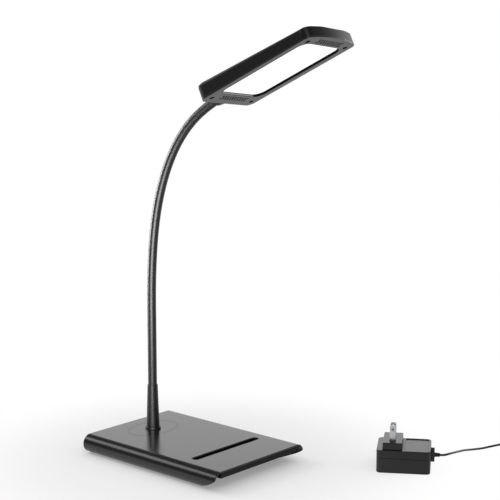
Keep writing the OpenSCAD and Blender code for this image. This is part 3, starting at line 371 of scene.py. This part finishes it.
def coil_point(turn):
    layer = min(int(turn / LOOPS + 1e-6), LAYERS)
    share = turn / LOOPS - layer
    out = 1 - share if layer % 2 == 0 else share
    turn_back = min(LAYERS - 1, round(turn / LOOPS + 1e-9))
    past = turn - turn_back * LOOPS
    climbed = 0 if turn < LOOPS / 2 else turn_back - 1 + max(0, min(1, 2 * past + 0.5))
    r = INNER_MM + out * LOOPS * PITCH_MM
    a = math.radians(360 * turn - 90)
    return Vector((COIL_AT[0] + r * math.cos(a), COIL_AT[1] + r * math.sin(a), COIL_Z + climbed * PITCH_MM))


coil_in = (COIL_AT[0], COIL_AT[1] - OUTER_MM)
x0, y0, z0 = RELIEF_END
run = smooth_route([RELIEF_END, (x0 + CORD_MM, y0, z0), (72.6, 21.2, 16.4), (76, 25.2, 16.2),
                    (79.2, 31.2, 15.4), (81.9, 37.8, 14.1), (87.5, 53.6, 10.8), (93.2, 67.5, 7.9),
                    (99.5, 79.6, 5), (107, 90.2, 2.8), (114.5, 98.5, 1.6), (122, 105.8, 1.4),
                    (129.5, 111.8, 1.5), (137, 116.4, 1.9),
                    *((coil_in[0] - k * CORD_MM, coil_in[1], COIL_Z) for k in (8, 5, 2))], ROUTE_STEPS)
turns = LAYERS * LOOPS
coil = [coil_point(k / LOOP_STEPS) for k in range(round(turns * LOOP_STEPS) + 1)]
drop = [(2 * CORD_MM, 0, 0), (8, 0, 0), (11, 0, -0.15), (15.5, 0.5, -1.5), (20.5, 2.2, -3.7),
        (25, 5.2, -5.4), (28.2, 9.5, -6.3), (29.8, 14.5, -6.65), (30, 18, -6.65), (30, 20, -6.65),
        (30, 22, -6.65)]
tail_points = [(coil_in[0] + x, coil_in[1] + y, max(GRIP_R, COIL_TOP + z)) for x, y, z in drop]
tail = smooth_route(tail_points, ROUTE_STEPS)
cord_route = [ADAPTER @ (p * MM) for p in run + coil + tail]

# %% [markdown]
# The lead is two thin wires side by side in one skin, so its section is not a plain round: a shallow
# groove runs along each side. A small closed curve of that shape is swept along the route by the
# curve's own bevel.

# %% Cord
bpy.ops.object.select_all(action="DESELECT")
section_data = bpy.data.curves.new("cord_section", "CURVE")
section_data.dimensions = "2D"
section_line = section_data.splines.new("POLY")
section_line.use_cyclic_u = True
SECTION_POINTS = 20
GROOVE = 0.06
section_line.points.add(SECTION_POINTS - 1)
for k in range(SECTION_POINTS):
    a = 2 * math.pi * k / SECTION_POINTS
    r = (0.5 - GROOVE * math.sin(a) ** 6) * CORD_MM * MM
    section_line.points[k].co = (r * math.cos(a), r * math.sin(a), 0, 1)
section = bpy.data.objects.new("cord_section", section_data)
bpy.context.scene.collection.objects.link(section)
cord_data = bpy.data.curves.new("adapter_cord", "CURVE")
cord_data.dimensions = "3D"
line = cord_data.splines.new("POLY")
line.points.add(len(cord_route) - 1)
for point, place in zip(line.points, cord_route):
    point.co = (*place, 1)
cord_data.bevel_mode = "OBJECT"
cord_data.bevel_object = section
cord_data.use_fill_caps = True
cord_data.twist_mode = "MINIMUM"
adapter_cord = bpy.data.objects.new("adapter_cord", cord_data)
bpy.context.scene.collection.objects.link(adapter_cord)
hold_only(adapter_cord)
bpy.ops.object.convert(target="MESH")
bpy.data.objects.remove(section)
bpy.ops.object.shade_smooth_by_angle(angle=math.radians(40))
place_on(adapter_cord, "base", "black_rubber", soft_pvc, "power_cord", "cord_coil", "plug_cord")
print("cord faces:", len(adapter_cord.data.polygons))

# %% [markdown]
# ## The neck
# A gooseneck is a wound steel core under a smooth rubber sleeve. It bends as one, so the sleeve must
# not show a joint. It is made in lengths that each cross one joint of the core: a ring is added and
# spun about the centre of each bend, just as the neck curves. Neighbours share the same ring, so no
# seam shows. The lead inside is made in the same lengths.

# %% Neck line
BENDS = [0, 0, 0, 2, 2.5, 3.5, 5.5, 6.5, 8.5, 11.5, 13.5, 9.5]
SPAN = 29.85 * MM
NECK_R = 5 * MM
STEM = Vector((0, 61.6 * MM, 72.2 * MM))
HELD = 29 * MM
NECK_AIM = 9 - 90
NECK_TURN = Matrix.Rotation(math.radians(NECK_AIM), 3, "Z")
SIDE = NECK_TURN @ Vector((0, 1, 0))
HALF_STEPS = 5
RING_STEP = SPAN / 2 / HALF_STEPS
LAST = len(BENDS) - 1


def direction(lean):
    return NECK_TURN @ Vector((math.sin(math.radians(lean)), 0, math.cos(math.radians(lean))))


def arc_chord(bend, length):
    """Straight distance between the ends of an arc of this length and bend."""
    return length if bend == 0 else 2 * length / math.radians(bend) * math.sin(math.radians(bend / 2))


def sweep_on(lean, bend, length):
    """Carry the selected ring on, straight or spun about the bend's centre.

    With no window, spin turns backwards, so its angle is negative."""
    ring = [v.co.copy() for v in bpy.context.object.data.vertices if v.select]
    middle = sum(ring, Vector()) / len(ring)
    ahead = direction(lean)
    bpy.ops.object.mode_set(mode="EDIT")
    if bend == 0:
        steps = max(1, round(length / RING_STEP))
        for _ in range(steps):
            bpy.ops.mesh.extrude_region_move(TRANSFORM_OT_translate={"value": ahead * length / steps})
    else:
        radius = length / math.radians(bend)
        centre = middle + SIDE.cross(ahead) * radius
        bpy.ops.mesh.spin(steps=HALF_STEPS, angle=-math.radians(bend), center=centre, axis=SIDE)
    bpy.ops.object.mode_set(mode="OBJECT")


joints = {j["child"]: j for j in frame["joints"]}
leans = [sum(BENDS[:k]) for k in range(len(BENDS) + 1)]
starts = [STEM]
for k, bend in enumerate(BENDS):
    starts.append(starts[-1] + direction(leans[k] + bend / 2) * arc_chord(bend, SPAN))
print("neck end, mm:", [round(c / MM, 1) for c in starts[-1]])
print("first joint, m:", [round(c, 4) for c in starts[1]], "in the frame:", joints["neck_link_2"]["pos_m"])


# %% One length of the neck
def neck_length(k, radius, sides, held, beyond):
    """A closed tube from the middle of one link to the middle of the next, bent as the neck is at rest."""
    before, after = BENDS[k - 1], BENDS[k]
    stretches = [(leans[k - 1] + before / 2, before / 2, SPAN / 2), (leans[k], after / 2, SPAN / 2)]
    if k == 1:
        stretches = [(0, 0, held + SPAN)] + stretches[1:]
        first = STEM - direction(0) * held
    else:
        first = starts[k - 1] + direction(leans[k - 1] + before / 4) * arc_chord(before / 2, SPAN / 2)
    if k == LAST:
        stretches = stretches[:1] + [(leans[k], after, SPAN)]
        if beyond:
            stretches.append((leans[k] + after, 0, beyond))
    bpy.ops.object.select_all(action="DESELECT")
    turn = direction(stretches[0][0]).to_track_quat("Z", "Y").to_euler()
    bpy.ops.mesh.primitive_circle_add(vertices=sides, radius=radius, location=first, rotation=turn)
    bpy.ops.object.transform_apply(location=True, rotation=True, scale=True)
    for lean, bend, run_length in stretches:
        sweep_on(lean, bend, run_length)
    bpy.ops.object.mode_set(mode="EDIT")
    bpy.ops.mesh.select_all(action="SELECT")
    bpy.ops.mesh.remove_doubles(threshold=0.001 * MM)
    bpy.ops.mesh.select_all(action="DESELECT")
    bpy.ops.mesh.select_non_manifold()
    bpy.ops.mesh.fill_holes(sides=0)
    bpy.ops.mesh.select_all(action="SELECT")
    bpy.ops.mesh.normals_make_consistent(inside=False)
    bpy.ops.object.mode_set(mode="OBJECT")
    bpy.ops.object.shade_smooth_by_angle(angle=math.radians(40))
    return bpy.context.object


def bend_with_neck(length):
    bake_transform(length)


# %% Neck sleeve and its lead
SLEEVE_SIDES, LEAD_SIDES = 40, 10
LEAD_R = 0.55 * MM
LEAD_BEYOND = 10 * MM
lead_foot = min((solids["neck_lead"].matrix_world @ v.co).z for v in solids["neck_lead"].data.vertices)
sleeves = []
for k in range(1, len(BENDS)):
    sleeve = neck_length(k, NECK_R, SLEEVE_SIDES, HELD, 0)
    sleeve.name = "neck_sleeve_%d" % k
    sleeve.data.materials.append(silicone)
    bend_with_neck(sleeve)
    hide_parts("neck_sleeve")
    sleeves.append(sleeve)
    lead = neck_length(k, LEAD_R, LEAD_SIDES, STEM.z - lead_foot, LEAD_BEYOND)
    lead.name = "neck_lead_%d" % k
    lead.data.materials.append(red_pvc)
    bend_with_neck(lead)
    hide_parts("neck_lead")
print("lengths of sleeve and lead:", LAST, "lead starts at", round(lead_foot / MM, 1), "mm")

# %% [markdown]
# ## Rounded copies of the rigid pieces
# A pressed sheet, a turned ferrule and a moulded case all have small radii where the solid has a knife
# edge. Those radii catch the light and make the edge lines of the photograph. Each rigid piece is
# traced from its solid and given the radius that its process leaves, so that its size and place stay as
# they were measured. The head housing has its edge radii already, so its row gives none.

# %% Rigid pieces and their edge radii, mm
HEAD, BASE = "head", "base"
RIGID = [
    ("base_shell", BASE, "base_steel", powder_coat, 0.35),
    ("stem_plate", BASE, "base_steel", powder_coat, 0.25),
    ("slot_liner", BASE, "black_plastic", plain_black, 0.3),
    ("bottom_cover", BASE, "black_plastic", plain_black, 0.5),
    ("dc_jack", BASE, "jack_black", plain_black, 0.25),
    ("ferrule_flange", BASE, "black_plastic", moulded_abs, 0.4),
    ("stem_ferrule", BASE, "black_plastic", moulded_abs, 0.3),
    ("foot_front_left", BASE, "black_rubber", rubber, 0.3),
    ("foot_front_right", BASE, "black_rubber", rubber, 0.3),
    ("foot_back_left", BASE, "black_rubber", rubber, 0.3),
    ("foot_back_right", BASE, "black_rubber", rubber, 0.3),
    ("cover_screws", BASE, "steel", zinc, 0.3),
    ("neck_collar", HEAD, "black_plastic", moulded_abs, 0.6),
    ("head_housing", HEAD, "black_plastic", moulded_abs, 0),
    ("bezel_screws", HEAD, "steel", black_screw, 0.2),
    ("touch_panel", HEAD, "touch_black", gloss_black, 0.2),
    ("adapter_lower_case", BASE, "black_plastic", adapter_abs, 0.5),
    ("adapter_upper_case", BASE, "black_plastic", adapter_abs, 0.5),
    ("plug_block", BASE, "black_plastic", adapter_abs, 0.5),
    ("plug_blade_front", BASE, "nickel", nickel, 0.3),
    ("plug_blade_rear", BASE, "nickel", nickel, 0.3),
    ("strain_relief", BASE, "black_rubber", soft_pvc, 0.3),
    ("cord_tie", BASE, "black_plastic", hook_tape, 0.25),
    ("dc_plug_grip", BASE, "black_rubber", soft_pvc, 0.5),
    ("dc_plug_barrel", BASE, "nickel", nickel, 0.2),
]

# %% [markdown]
# The head is worked on in its own axes: x runs from the neck to the tip, y across, and z up from the
# bezel. One matrix carries them into the room. The two top corners beside the neck are the softest
# forms of the head. A bevel makes a mess where three round edges meet, so the corner is cut finely
# instead and the cuts are pressed down.

# %% Head axes and its soft corners
HEAD_ROLL = -6.4
NECK_IN_Z = 8.5 * MM
HEAD_AT = (Matrix.Translation(starts[-1]) @ NECK_TURN.to_4x4()
           @ Matrix.Rotation(math.radians(leans[-1] - 90), 4, "Y")
           @ Matrix.Rotation(math.radians(HEAD_ROLL), 4, "X") @ Matrix.Translation((0, 0, -NECK_IN_Z)))
to_head = HEAD_AT.inverted()
HEAD_L, HALF_W = 150.6, 44.5
HEAD_H_NECK, ROOF_FALL = 17.4, 5.8
CORNER_R, TOP_EDGE_R = 10, 3.5
CORNER_CUTS = (0.3, 0.8, 1.4, 2.1, 2.9, 3.8, 5, 6.5, 8.2, 10)
print("head axes at, mm:", [round(c / MM, 1) for c in HEAD_AT.translation])


def soften_neck_corners(piece, radius):
    """Round the two upper corners beside the neck: cut them finely, then press the cuts down."""
    hold_only(piece)
    turn = HEAD_AT.to_3x3()
    bpy.ops.object.mode_set(mode="EDIT")
    for step in CORNER_CUTS:
        side = HALF_W - step
        for at, across in (((step, 0, 0), (1, 0, 0)), ((0, side, 0), (0, 1, 0)), ((0, -side, 0), (0, 1, 0))):
            bpy.ops.mesh.select_all(action="SELECT")
            bpy.ops.mesh.bisect(plane_co=HEAD_AT @ (Vector(at) * MM), plane_no=turn @ Vector(across))
    bpy.ops.object.mode_set(mode="OBJECT")
    corner_y = HALF_W - CORNER_R
    for vertex in piece.data.vertices:
        at = to_head @ vertex.co / MM
        if at.x < CORNER_R and abs(at.y) > corner_y:
            inside = max(0, CORNER_R - math.hypot(CORNER_R - at.x, abs(at.y) - corner_y))
            pressed = radius - math.sqrt(radius ** 2 - max(0, radius - inside) ** 2)
            roof = HEAD_H_NECK - at.x * ROOF_FALL / HEAD_L - pressed
            if at.z > roof:
                vertex.co = HEAD_AT @ (Vector((at.x, at.y, roof)) * MM)


# %% Round the rigid pieces
made = {}
for node, body, slot, finish, radius in RIGID:
    piece = traced(node, node + "_finished")
    if node == "head_housing":
        soften_neck_corners(piece, TOP_EDGE_R)
        even_shading(piece)
    else:
        round_edges(piece, radius)
    made[node] = place_on(piece, body, slot, finish, node)
print("rounded pieces:", len(made), "faces:", sum(len(p.data.polygons) for p in made.values()))

# %% [markdown]
# ## The rim of the light window
# The window lies in a shallow well. A thin ring of flat black lines the well: it is painted shade,
# which keeps the well's walls dark. Along the end beside the neck, a thin grey strip shaped like an
# upturned edge of the diffuser is painted light: the glow of the window on that end wall, which
# shows as a grey line.
# Both are made in the head's own axes, where the window is a plain rounded rectangle, and are then
# carried into place by one matrix.

# %% Window rim
WINDOW_MID = 76.8 * MM
WINDOW_SIZE = (113.6 * MM, 71 * MM)
WINDOW_CORNER = 11 * MM
WELL_DEEP = 3 * MM
RIM_GAP, RIM_LOW, RIM_THICK = 0.02 * MM, 0.5 * MM, 0.1 * MM
EDGE_GAP, EDGE_LOW, EDGE_HIGH, EDGE_THICK = 0.2 * MM, 0.3 * MM, 1.9 * MM, 0.3 * MM
EDGE_REACH, EDGE_STOPS_Y = 5 * MM, 25 * MM


def well_lining(name, inset, low, high):
    """A thin wall along the inside of the window's well, in the head's own axes."""
    bpy.ops.object.select_all(action="DESELECT")
    bpy.ops.mesh.primitive_plane_add(size=1, location=(WINDOW_MID, 0, low))
    lining = bpy.context.object
    lining.name = name
    lining.scale = (WINDOW_SIZE[0] - 2 * inset, WINDOW_SIZE[1] - 2 * inset, 1)
    bpy.ops.object.transform_apply(location=True, rotation=False, scale=True)
    bpy.ops.object.mode_set(mode="EDIT")
    bpy.ops.mesh.select_all(action="SELECT")
    bpy.ops.mesh.bevel(offset=WINDOW_CORNER - inset, segments=10, affect="VERTICES")
    bpy.ops.mesh.delete(type="ONLY_FACE")
    bpy.ops.mesh.select_all(action="SELECT")
    bpy.ops.mesh.extrude_region_move(TRANSFORM_OT_translate={"value": (0, 0, high - low)})
    bpy.ops.mesh.select_all(action="SELECT")
    bpy.ops.mesh.normals_make_consistent(inside=True)
    bpy.ops.object.mode_set(mode="OBJECT")
    return lining


def thicken(lining, thickness):
    hold_only(lining)
    wall = lining.modifiers.new("wall", "SOLIDIFY")
    wall.thickness = thickness
    wall.offset = 1
    bpy.ops.object.modifier_apply(modifier=wall.name)
    lining.data.transform(HEAD_AT)
    bpy.ops.object.shade_smooth_by_angle(angle=math.radians(30))


# Painted shade: a flat black lining on the walls of the well.
painted_shade_rim = well_lining("painted_shade_rim", RIM_GAP, RIM_LOW, WELL_DEEP - RIM_GAP)
thicken(painted_shade_rim, RIM_THICK)
place_on(painted_shade_rim, HEAD, "bezel_plastic", painted_shade_black)

# Painted light: a grey strip for the window's glow on the end wall beside the neck.
painted_glow_strip = well_lining("painted_glow_strip", EDGE_GAP, EDGE_LOW, EDGE_HIGH)
neck_end = WINDOW_MID - WINDOW_SIZE[0] / 2
bpy.ops.object.mode_set(mode="EDIT")
bpy.ops.mesh.select_all(action="SELECT")
bpy.ops.mesh.bisect(plane_co=(neck_end + EDGE_REACH, 0, 0), plane_no=(1, 0, 0), clear_outer=True)
bpy.ops.mesh.select_all(action="SELECT")
bpy.ops.mesh.bisect(plane_co=(0, EDGE_STOPS_Y, 0), plane_no=(0, 1, 0), clear_outer=True)
bpy.ops.object.mode_set(mode="OBJECT")
thicken(painted_glow_strip, EDGE_THICK)
place_on(painted_glow_strip, HEAD, "diffuser_white", painted_glow_grey)
print("window rim faces:", len(painted_shade_rim.data.polygons), "edge faces:", len(painted_glow_strip.data.polygons))

# %% [markdown]
# ## The bezel
# The bezel's outer edge is already round along its sides. It is traced but not bevelled, because a
# bevel breaks a flat face that has so many holes. The walls of the vents and of the screw holes take
# painted shade, as dark as deep holes look.

# %% Bezel
bezel = traced("head_bezel", "head_bezel_finished")
bpy.ops.object.shade_smooth_by_angle(angle=math.radians(32))
SCREW_ZONE = 4
SCREW_X, SCREW_Y = (10, 136.6), 34.5
SCREW_PLACES = [Vector((x, side * SCREW_Y)) for x in SCREW_X for side in (-1, 1)]
VENT_ZONE_X, VENT_ZONE_Y = (4, 146), 25
bezel.data.materials.append(bezel_abs)
bezel.data.materials.append(painted_shade_black)
# The walls of the vents and screw holes take the second finish: painted shade.
for face in bezel.data.polygons:
    at = to_head @ face.center / MM
    past_window = abs(at.x - WINDOW_MID / MM) > WINDOW_SIZE[0] / 2 / MM + 1
    in_vents = past_window and VENT_ZONE_X[0] < at.x < VENT_ZONE_X[1] and abs(at.y) < VENT_ZONE_Y
    in_screw_hole = any((at.xy - place).length < SCREW_ZONE for place in SCREW_PLACES)
    is_wall = abs(face.normal.dot(OUT)) < 0.5
    if is_wall and (in_vents or in_screw_hole):
        face.material_index = 1
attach(bezel, HEAD)
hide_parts("head_bezel")
print("dark faces in the bezel:", sum(face.material_index for face in bezel.data.polygons))

# %% [markdown]
# At the tip, where the outline bows, a mould also leaves a small radius, and the far part of that edge
# catches the light as a fine bright line. A bead is laid along it. Its path is found from the bezel
# itself: the hull of the points that lie on the underside is the bezel's outline.

# %% Rounded tip edge
BEAD_R = 0.45 * MM
BEAD_IN = Vector((-0.3, 0, 0.35)) * MM
TIP_FROM_X, TIP_FROM_Y = 139 * MM, -12 * MM
under = [v for v in (to_head @ vertex.co for vertex in bezel.data.vertices) if v.z < 0.05 * MM]
rim = [under[k] for k in convex_hull_2d([v.xy for v in under])]
tip = sorted((v for v in rim if v.x > TIP_FROM_X and v.y > TIP_FROM_Y), key=lambda v: v.y)
bead_line = bpy.data.curves.new("bezel_bead", "CURVE")
bead_line.dimensions = "3D"
bead_line.bevel_depth = BEAD_R
bead_line.bevel_resolution = 3
bead_line.use_fill_caps = True
bead_run = bead_line.splines.new("POLY")
bead_run.points.add(len(tip) - 1)
for point, corner in zip(bead_run.points, tip):
    point.co = (HEAD_AT @ (corner + BEAD_IN)).to_4d()
bead = bpy.data.objects.new("bezel_bead", bead_line)
bpy.context.scene.collection.objects.link(bead)
hold_only(bead)
bpy.ops.object.convert(target="MESH")
bead = bpy.context.object
bpy.ops.object.shade_smooth_by_angle(angle=math.radians(40))
place_on(bead, HEAD, "bezel_plastic", bezel_abs)
print("corners along the tip edge:", len(tip))

# %% [markdown]
# A vent is hardly wider than a pixel here, so each vent and screw hole gets a flat ring of painted
# shade round its mouth: the dark of the hole is drawn wider than the hole, by as much as it needs to show.
# One function makes a ring from a filled circle: its face is inset, and the inner part is deleted. The
# rings are joined, carried into the room, and given a little thickness.

# %% Painted shade round the vents and screw holes
VENT_GROUPS_X = (13, 140.3)
VENT_ROWS = ((-1, 11), (0, 10), (1, 11))
RING_PROUD = 0.02
RING_THICK = 0.05 * MM
VENT_STEP, VENT_ROW = 4.2, 2.8
# Radius of each hole and the outer radius of its ring of painted shade, mm.
VENT_R, VENT_SHADE_R = 0.85, 1.3
SCREW_R, SCREW_SHADE_R = 2, 2.65


def dark_ring(x, y, inner, outer):
    bpy.ops.object.select_all(action="DESELECT")
    place = Vector((x, y, -RING_PROUD)) * MM
    bpy.ops.mesh.primitive_circle_add(vertices=16, radius=outer * MM, fill_type="NGON", location=place)
    bpy.ops.object.mode_set(mode="EDIT")
    bpy.ops.mesh.select_all(action="SELECT")
    bpy.ops.mesh.inset(thickness=(outer - inner) * MM)
    bpy.ops.mesh.delete(type="FACE")
    bpy.ops.object.mode_set(mode="OBJECT")
    bpy.ops.object.transform_apply(location=True, rotation=False, scale=False)
    return bpy.context.object


rings = [dark_ring(place.x, place.y, SCREW_R, SCREW_SHADE_R) for place in SCREW_PLACES]
for middle_x in VENT_GROUPS_X:
    for row, count in VENT_ROWS:
        for k in range(count):
            across = (k - (count - 1) / 2) * VENT_STEP
            rings.append(dark_ring(middle_x + row * VENT_ROW, across, VENT_R, VENT_SHADE_R))
bpy.ops.object.select_all(action="DESELECT")
for ring in rings:
    ring.select_set(True)
bpy.context.view_layer.objects.active = rings[0]
bpy.ops.object.join()
vent_painted_shade = bpy.context.object
vent_painted_shade.name = "vent_painted_shade"
vent_painted_shade.data.transform(HEAD_AT)
bpy.ops.object.mode_set(mode="EDIT")
bpy.ops.mesh.select_all(action="SELECT")
bpy.ops.mesh.flip_normals()
bpy.ops.mesh.extrude_region_move(TRANSFORM_OT_translate={"value": -OUT * RING_THICK})
bpy.ops.mesh.select_all(action="SELECT")
bpy.ops.mesh.normals_make_consistent(inside=False)
bpy.ops.object.mode_set(mode="OBJECT")
place_on(vent_painted_shade, HEAD, "bezel_plastic", painted_shade_black)
print("dark rings:", len(rings))

# %% [markdown]
# ## Pieces that keep their solid
# What is flat, hidden or already right keeps its own solid and only takes a finish.

# %% Finishes on the solids
KEPT = {
    frosted: ["diffuser"],
    clear_sheet: ["light_guide"],
    reflector_film: ["reflector_sheet"],
    heat_alloy: ["heat_plate"],
    phosphor: ["led_strip_left", "led_strip_right"],
    solder_mask: ["control_board", "touch_board", "adapter_board"],
    yellow_tape: ["transformer"],
    cold_rolled: ["ballast_plate", "stem_bracket"],
    zinc: ["stem_stud", "stem_washer", "stem_nut", "neck_nut"] + ["neck_core_%d" % k for k in range(1, 13)],
}
for finish, names in KEPT.items():
    for name in names:
        solids[name].data.materials.clear()
        solids[name].data.materials.append(finish)
print("solids with a finish:", sum(len(n) for n in KEPT.values()))

# %% [markdown] Points along the cord

print("points along the cord:", len(cord_route))

# %% [markdown]
# ## Floor and light
# The lamp stands on a white sweep under a broad soft light from the back left, so its shadow falls
# towards the front right. The floor and the room are white to the eye, shiny pieces mirror them, and the
# lamps stay at a plain level.


# %% Floor
def sight(tree):
    """One where the eye looks, straight, in a mirror or through glass, and nought for light on the object."""
    path = add(tree, "ShaderNodeLightPath")
    mirrored = add(tree, "ShaderNodeMath", operation="MAXIMUM",
                   links={0: path.outputs["Is Camera Ray"], 1: path.outputs["Is Glossy Ray"]})
    seen = add(tree, "ShaderNodeMath", operation="MAXIMUM",
               links={0: mirrored.outputs[0], 1: path.outputs["Is Transmission Ray"]})
    return path, seen


FLOOR_SIZE, FLOOR_Z = 14, -0.0002
SWEEP_SIDE = (0.72, 0.69, 0.0)
FLOOR_LIFT = 0.25
FADE_FROM, FADE_TO = 0.13, 0.3
bpy.ops.object.select_all(action="DESELECT")
bpy.ops.mesh.primitive_plane_add(size=FLOOR_SIZE, location=(0, 0, FLOOR_Z))
floor = bpy.context.object
floor.name = "white_floor"
floor_paint = bpy.data.materials.new("white_paper_floor")
floor_paint.use_nodes = True
tree = floor_paint.node_tree
tree.nodes.clear()
paper = add(tree, "ShaderNodeBsdfDiffuse", {"Color": (0.8, 0.8, 0.8, 1)})
path, seen = sight(tree)
lift = add(tree, "ShaderNodeMath", {1: FLOOR_LIFT}, {0: seen.outputs[0]}, operation="MULTIPLY")
glow = add(tree, "ShaderNodeEmission", {"Color": (1, 1, 1, 1)}, {"Strength": lift.outputs[0]})
both = add(tree, "ShaderNodeAddShader", links={0: paper.outputs[0], 1: glow.outputs[0]})
place = add(tree, "ShaderNodeTexCoord")
away = add(tree, "ShaderNodeVectorMath", links={0: place.outputs["Object"]}, operation="LENGTH")
far = add(tree, "ShaderNodeMapRange", {"From Min": FADE_FROM, "From Max": FADE_TO},
          {"Value": away.outputs["Value"]}, interpolation_type="SMOOTHSTEP")
side = add(tree, "ShaderNodeVectorMath", {1: SWEEP_SIDE}, {0: place.outputs["Object"]},
           operation="DOT_PRODUCT")
lit_side = add(tree, "ShaderNodeMapRange", {"From Max": 0.45, "To Min": 0.6, "From Min": 0.0, "To Max": 1.0},
               {"Value": side.outputs["Value"]})
mirrored = add(tree, "ShaderNodeMath", links={0: seen.outputs[0], 1: lit_side.outputs["Result"]},
               operation="MULTIPLY")
white = add(tree, "ShaderNodeMath", links={0: path.outputs["Is Camera Ray"], 1: mirrored.outputs[0]},
            operation="MAXIMUM")
backdrop = add(tree, "ShaderNodeEmission", {"Color": (1, 1, 1, 1)}, {"Strength": white.outputs[0]})
sweep = add(tree, "ShaderNodeMixShader",
            links={0: far.outputs["Result"], 1: both.outputs[0], 2: backdrop.outputs[0]})
add(tree, "ShaderNodeOutputMaterial", links={"Surface": sweep.outputs[0]})
floor.data.materials.append(floor_paint)
print("floor, m:", [round(c, 2) for c in floor.dimensions])

# %% [markdown]
# The room is white to the eye. A shiny piece sees it darker overhead and bright along a low band behind
# the lamp, where the white sweep rises. The base mirrors that band at a flat angle, and that makes its
# top grey.

# %% Room
ROOM_LIGHT = 0.65
MIRRORED_DARK, MIRRORED_BRIGHT = 0.16, 1.4
world = bpy.data.worlds.new("white_room")
bpy.context.scene.world = world
world.use_nodes = True
tree = world.node_tree
tree.nodes.clear()
path, seen = sight(tree)
place = add(tree, "ShaderNodeTexCoord")
axes = add(tree, "ShaderNodeSeparateXYZ", links={0: place.outputs["Generated"]})
height = add(tree, "ShaderNodeMapRange", {"From Min": 0.36, "From Max": 0.56, "To Min": 1.0, "To Max": 0.0},
             {"Value": axes.outputs["Z"]}, interpolation_type="SMOOTHSTEP")
behind = add(tree, "ShaderNodeVectorMath", {1: SWEEP_SIDE}, {0: place.outputs["Generated"]},
             operation="DOT_PRODUCT")
width = add(tree, "ShaderNodeMapRange", {"From Min": 0.2, "From Max": 0.7},
            {"Value": behind.outputs["Value"]}, interpolation_type="SMOOTHSTEP")
sweep_seen = add(tree, "ShaderNodeMath", links={0: height.outputs["Result"], 1: width.outputs["Result"]},
                 operation="MULTIPLY")
mirrored = add(tree, "ShaderNodeMapRange", {"To Min": MIRRORED_DARK, "To Max": MIRRORED_BRIGHT},
               {"Value": sweep_seen.outputs[0]})
direct = add(tree, "ShaderNodeMix", {"A": ROOM_LIGHT},
             {"Factor": seen.outputs[0], "B": mirrored.outputs["Result"]})
strength = add(tree, "ShaderNodeMix", {"B": 1.0},
               {"Factor": path.outputs["Is Camera Ray"], "A": direct.outputs["Result"]})
air = add(tree, "ShaderNodeBackground", {"Color": (1, 1, 1, 1)}, {"Strength": strength.outputs["Result"]})
add(tree, "ShaderNodeOutputWorld", links={"Surface": air.outputs[0]})
print("room light:", ROOM_LIGHT)

# %% [markdown]
# Two soft boxes light everything at a plain level. The long bright bands on the neck, the sheen of the
# bezel and the fine line at the tip come from narrow strips that a studio flags off with black cards.
# Here each strip is linked to the few pieces that mirror it, and it adds no diffuse light at all.


# %% Lamps
def softbox(name, at, aim, size, watts):
    data = bpy.data.lights.new(name, "AREA")
    data.shape = "RECTANGLE"
    data.size, data.size_y = size
    data.energy = watts
    lamp = bpy.data.objects.new(name, data)
    lamp.location = at
    lamp.rotation_euler = (Vector(aim) - Vector(at)).to_track_quat("-Z", "Y").to_euler()
    bpy.context.scene.collection.objects.link(lamp)
    return lamp


def flagged(lamp, pieces):
    """Shade a lamp off with black cards, so that only these pieces mirror it and nothing is lit by it."""
    lamp.visible_diffuse = False
    mirrors = bpy.data.collections.new(lamp.name + "_mirrors")
    for piece in pieces:
        mirrors.objects.link(piece)
    lamp.light_linking.receiver_collection = mirrors


softbox("back_left_softbox", (-0.85, 1.45, 1.3), (0, 0, 0.05), (0.9, 0.7), 6)
softbox("front_left_softbox", (-0.9, -1.5, 1.75), (0, 0, 0.3), (0.6, 0.6), 4)
stem_pieces = sleeves + [made[k] for k in ("stem_ferrule", "ferrule_flange", "neck_collar")]
TIP_LAMP, TIP_AIM, TIP_SIZE = (1.0, -0.62, 0.08), (0.03, -0.16, 0.46), (0.1, 0.5)
flagged(softbox("neck_strip", (-0.48, -0.29, 0.3), (0, 0.0616, 0.28), (0.4, 0.6), 14), stem_pieces)
flagged(softbox("rim_strip", (-0.27, 0.81, 0.3), (0, 0.0616, 0.26), (0.25, 0.6), 10), stem_pieces)
flagged(softbox("tip_strip", TIP_LAMP, TIP_AIM, TIP_SIZE, 6), [bezel])
flagged(softbox("bead_strip", TIP_LAMP, TIP_AIM, TIP_SIZE, 45), [bead])
bpy.context.scene.view_settings.view_transform = "Standard"
print("lamps:", len(bpy.data.lights))
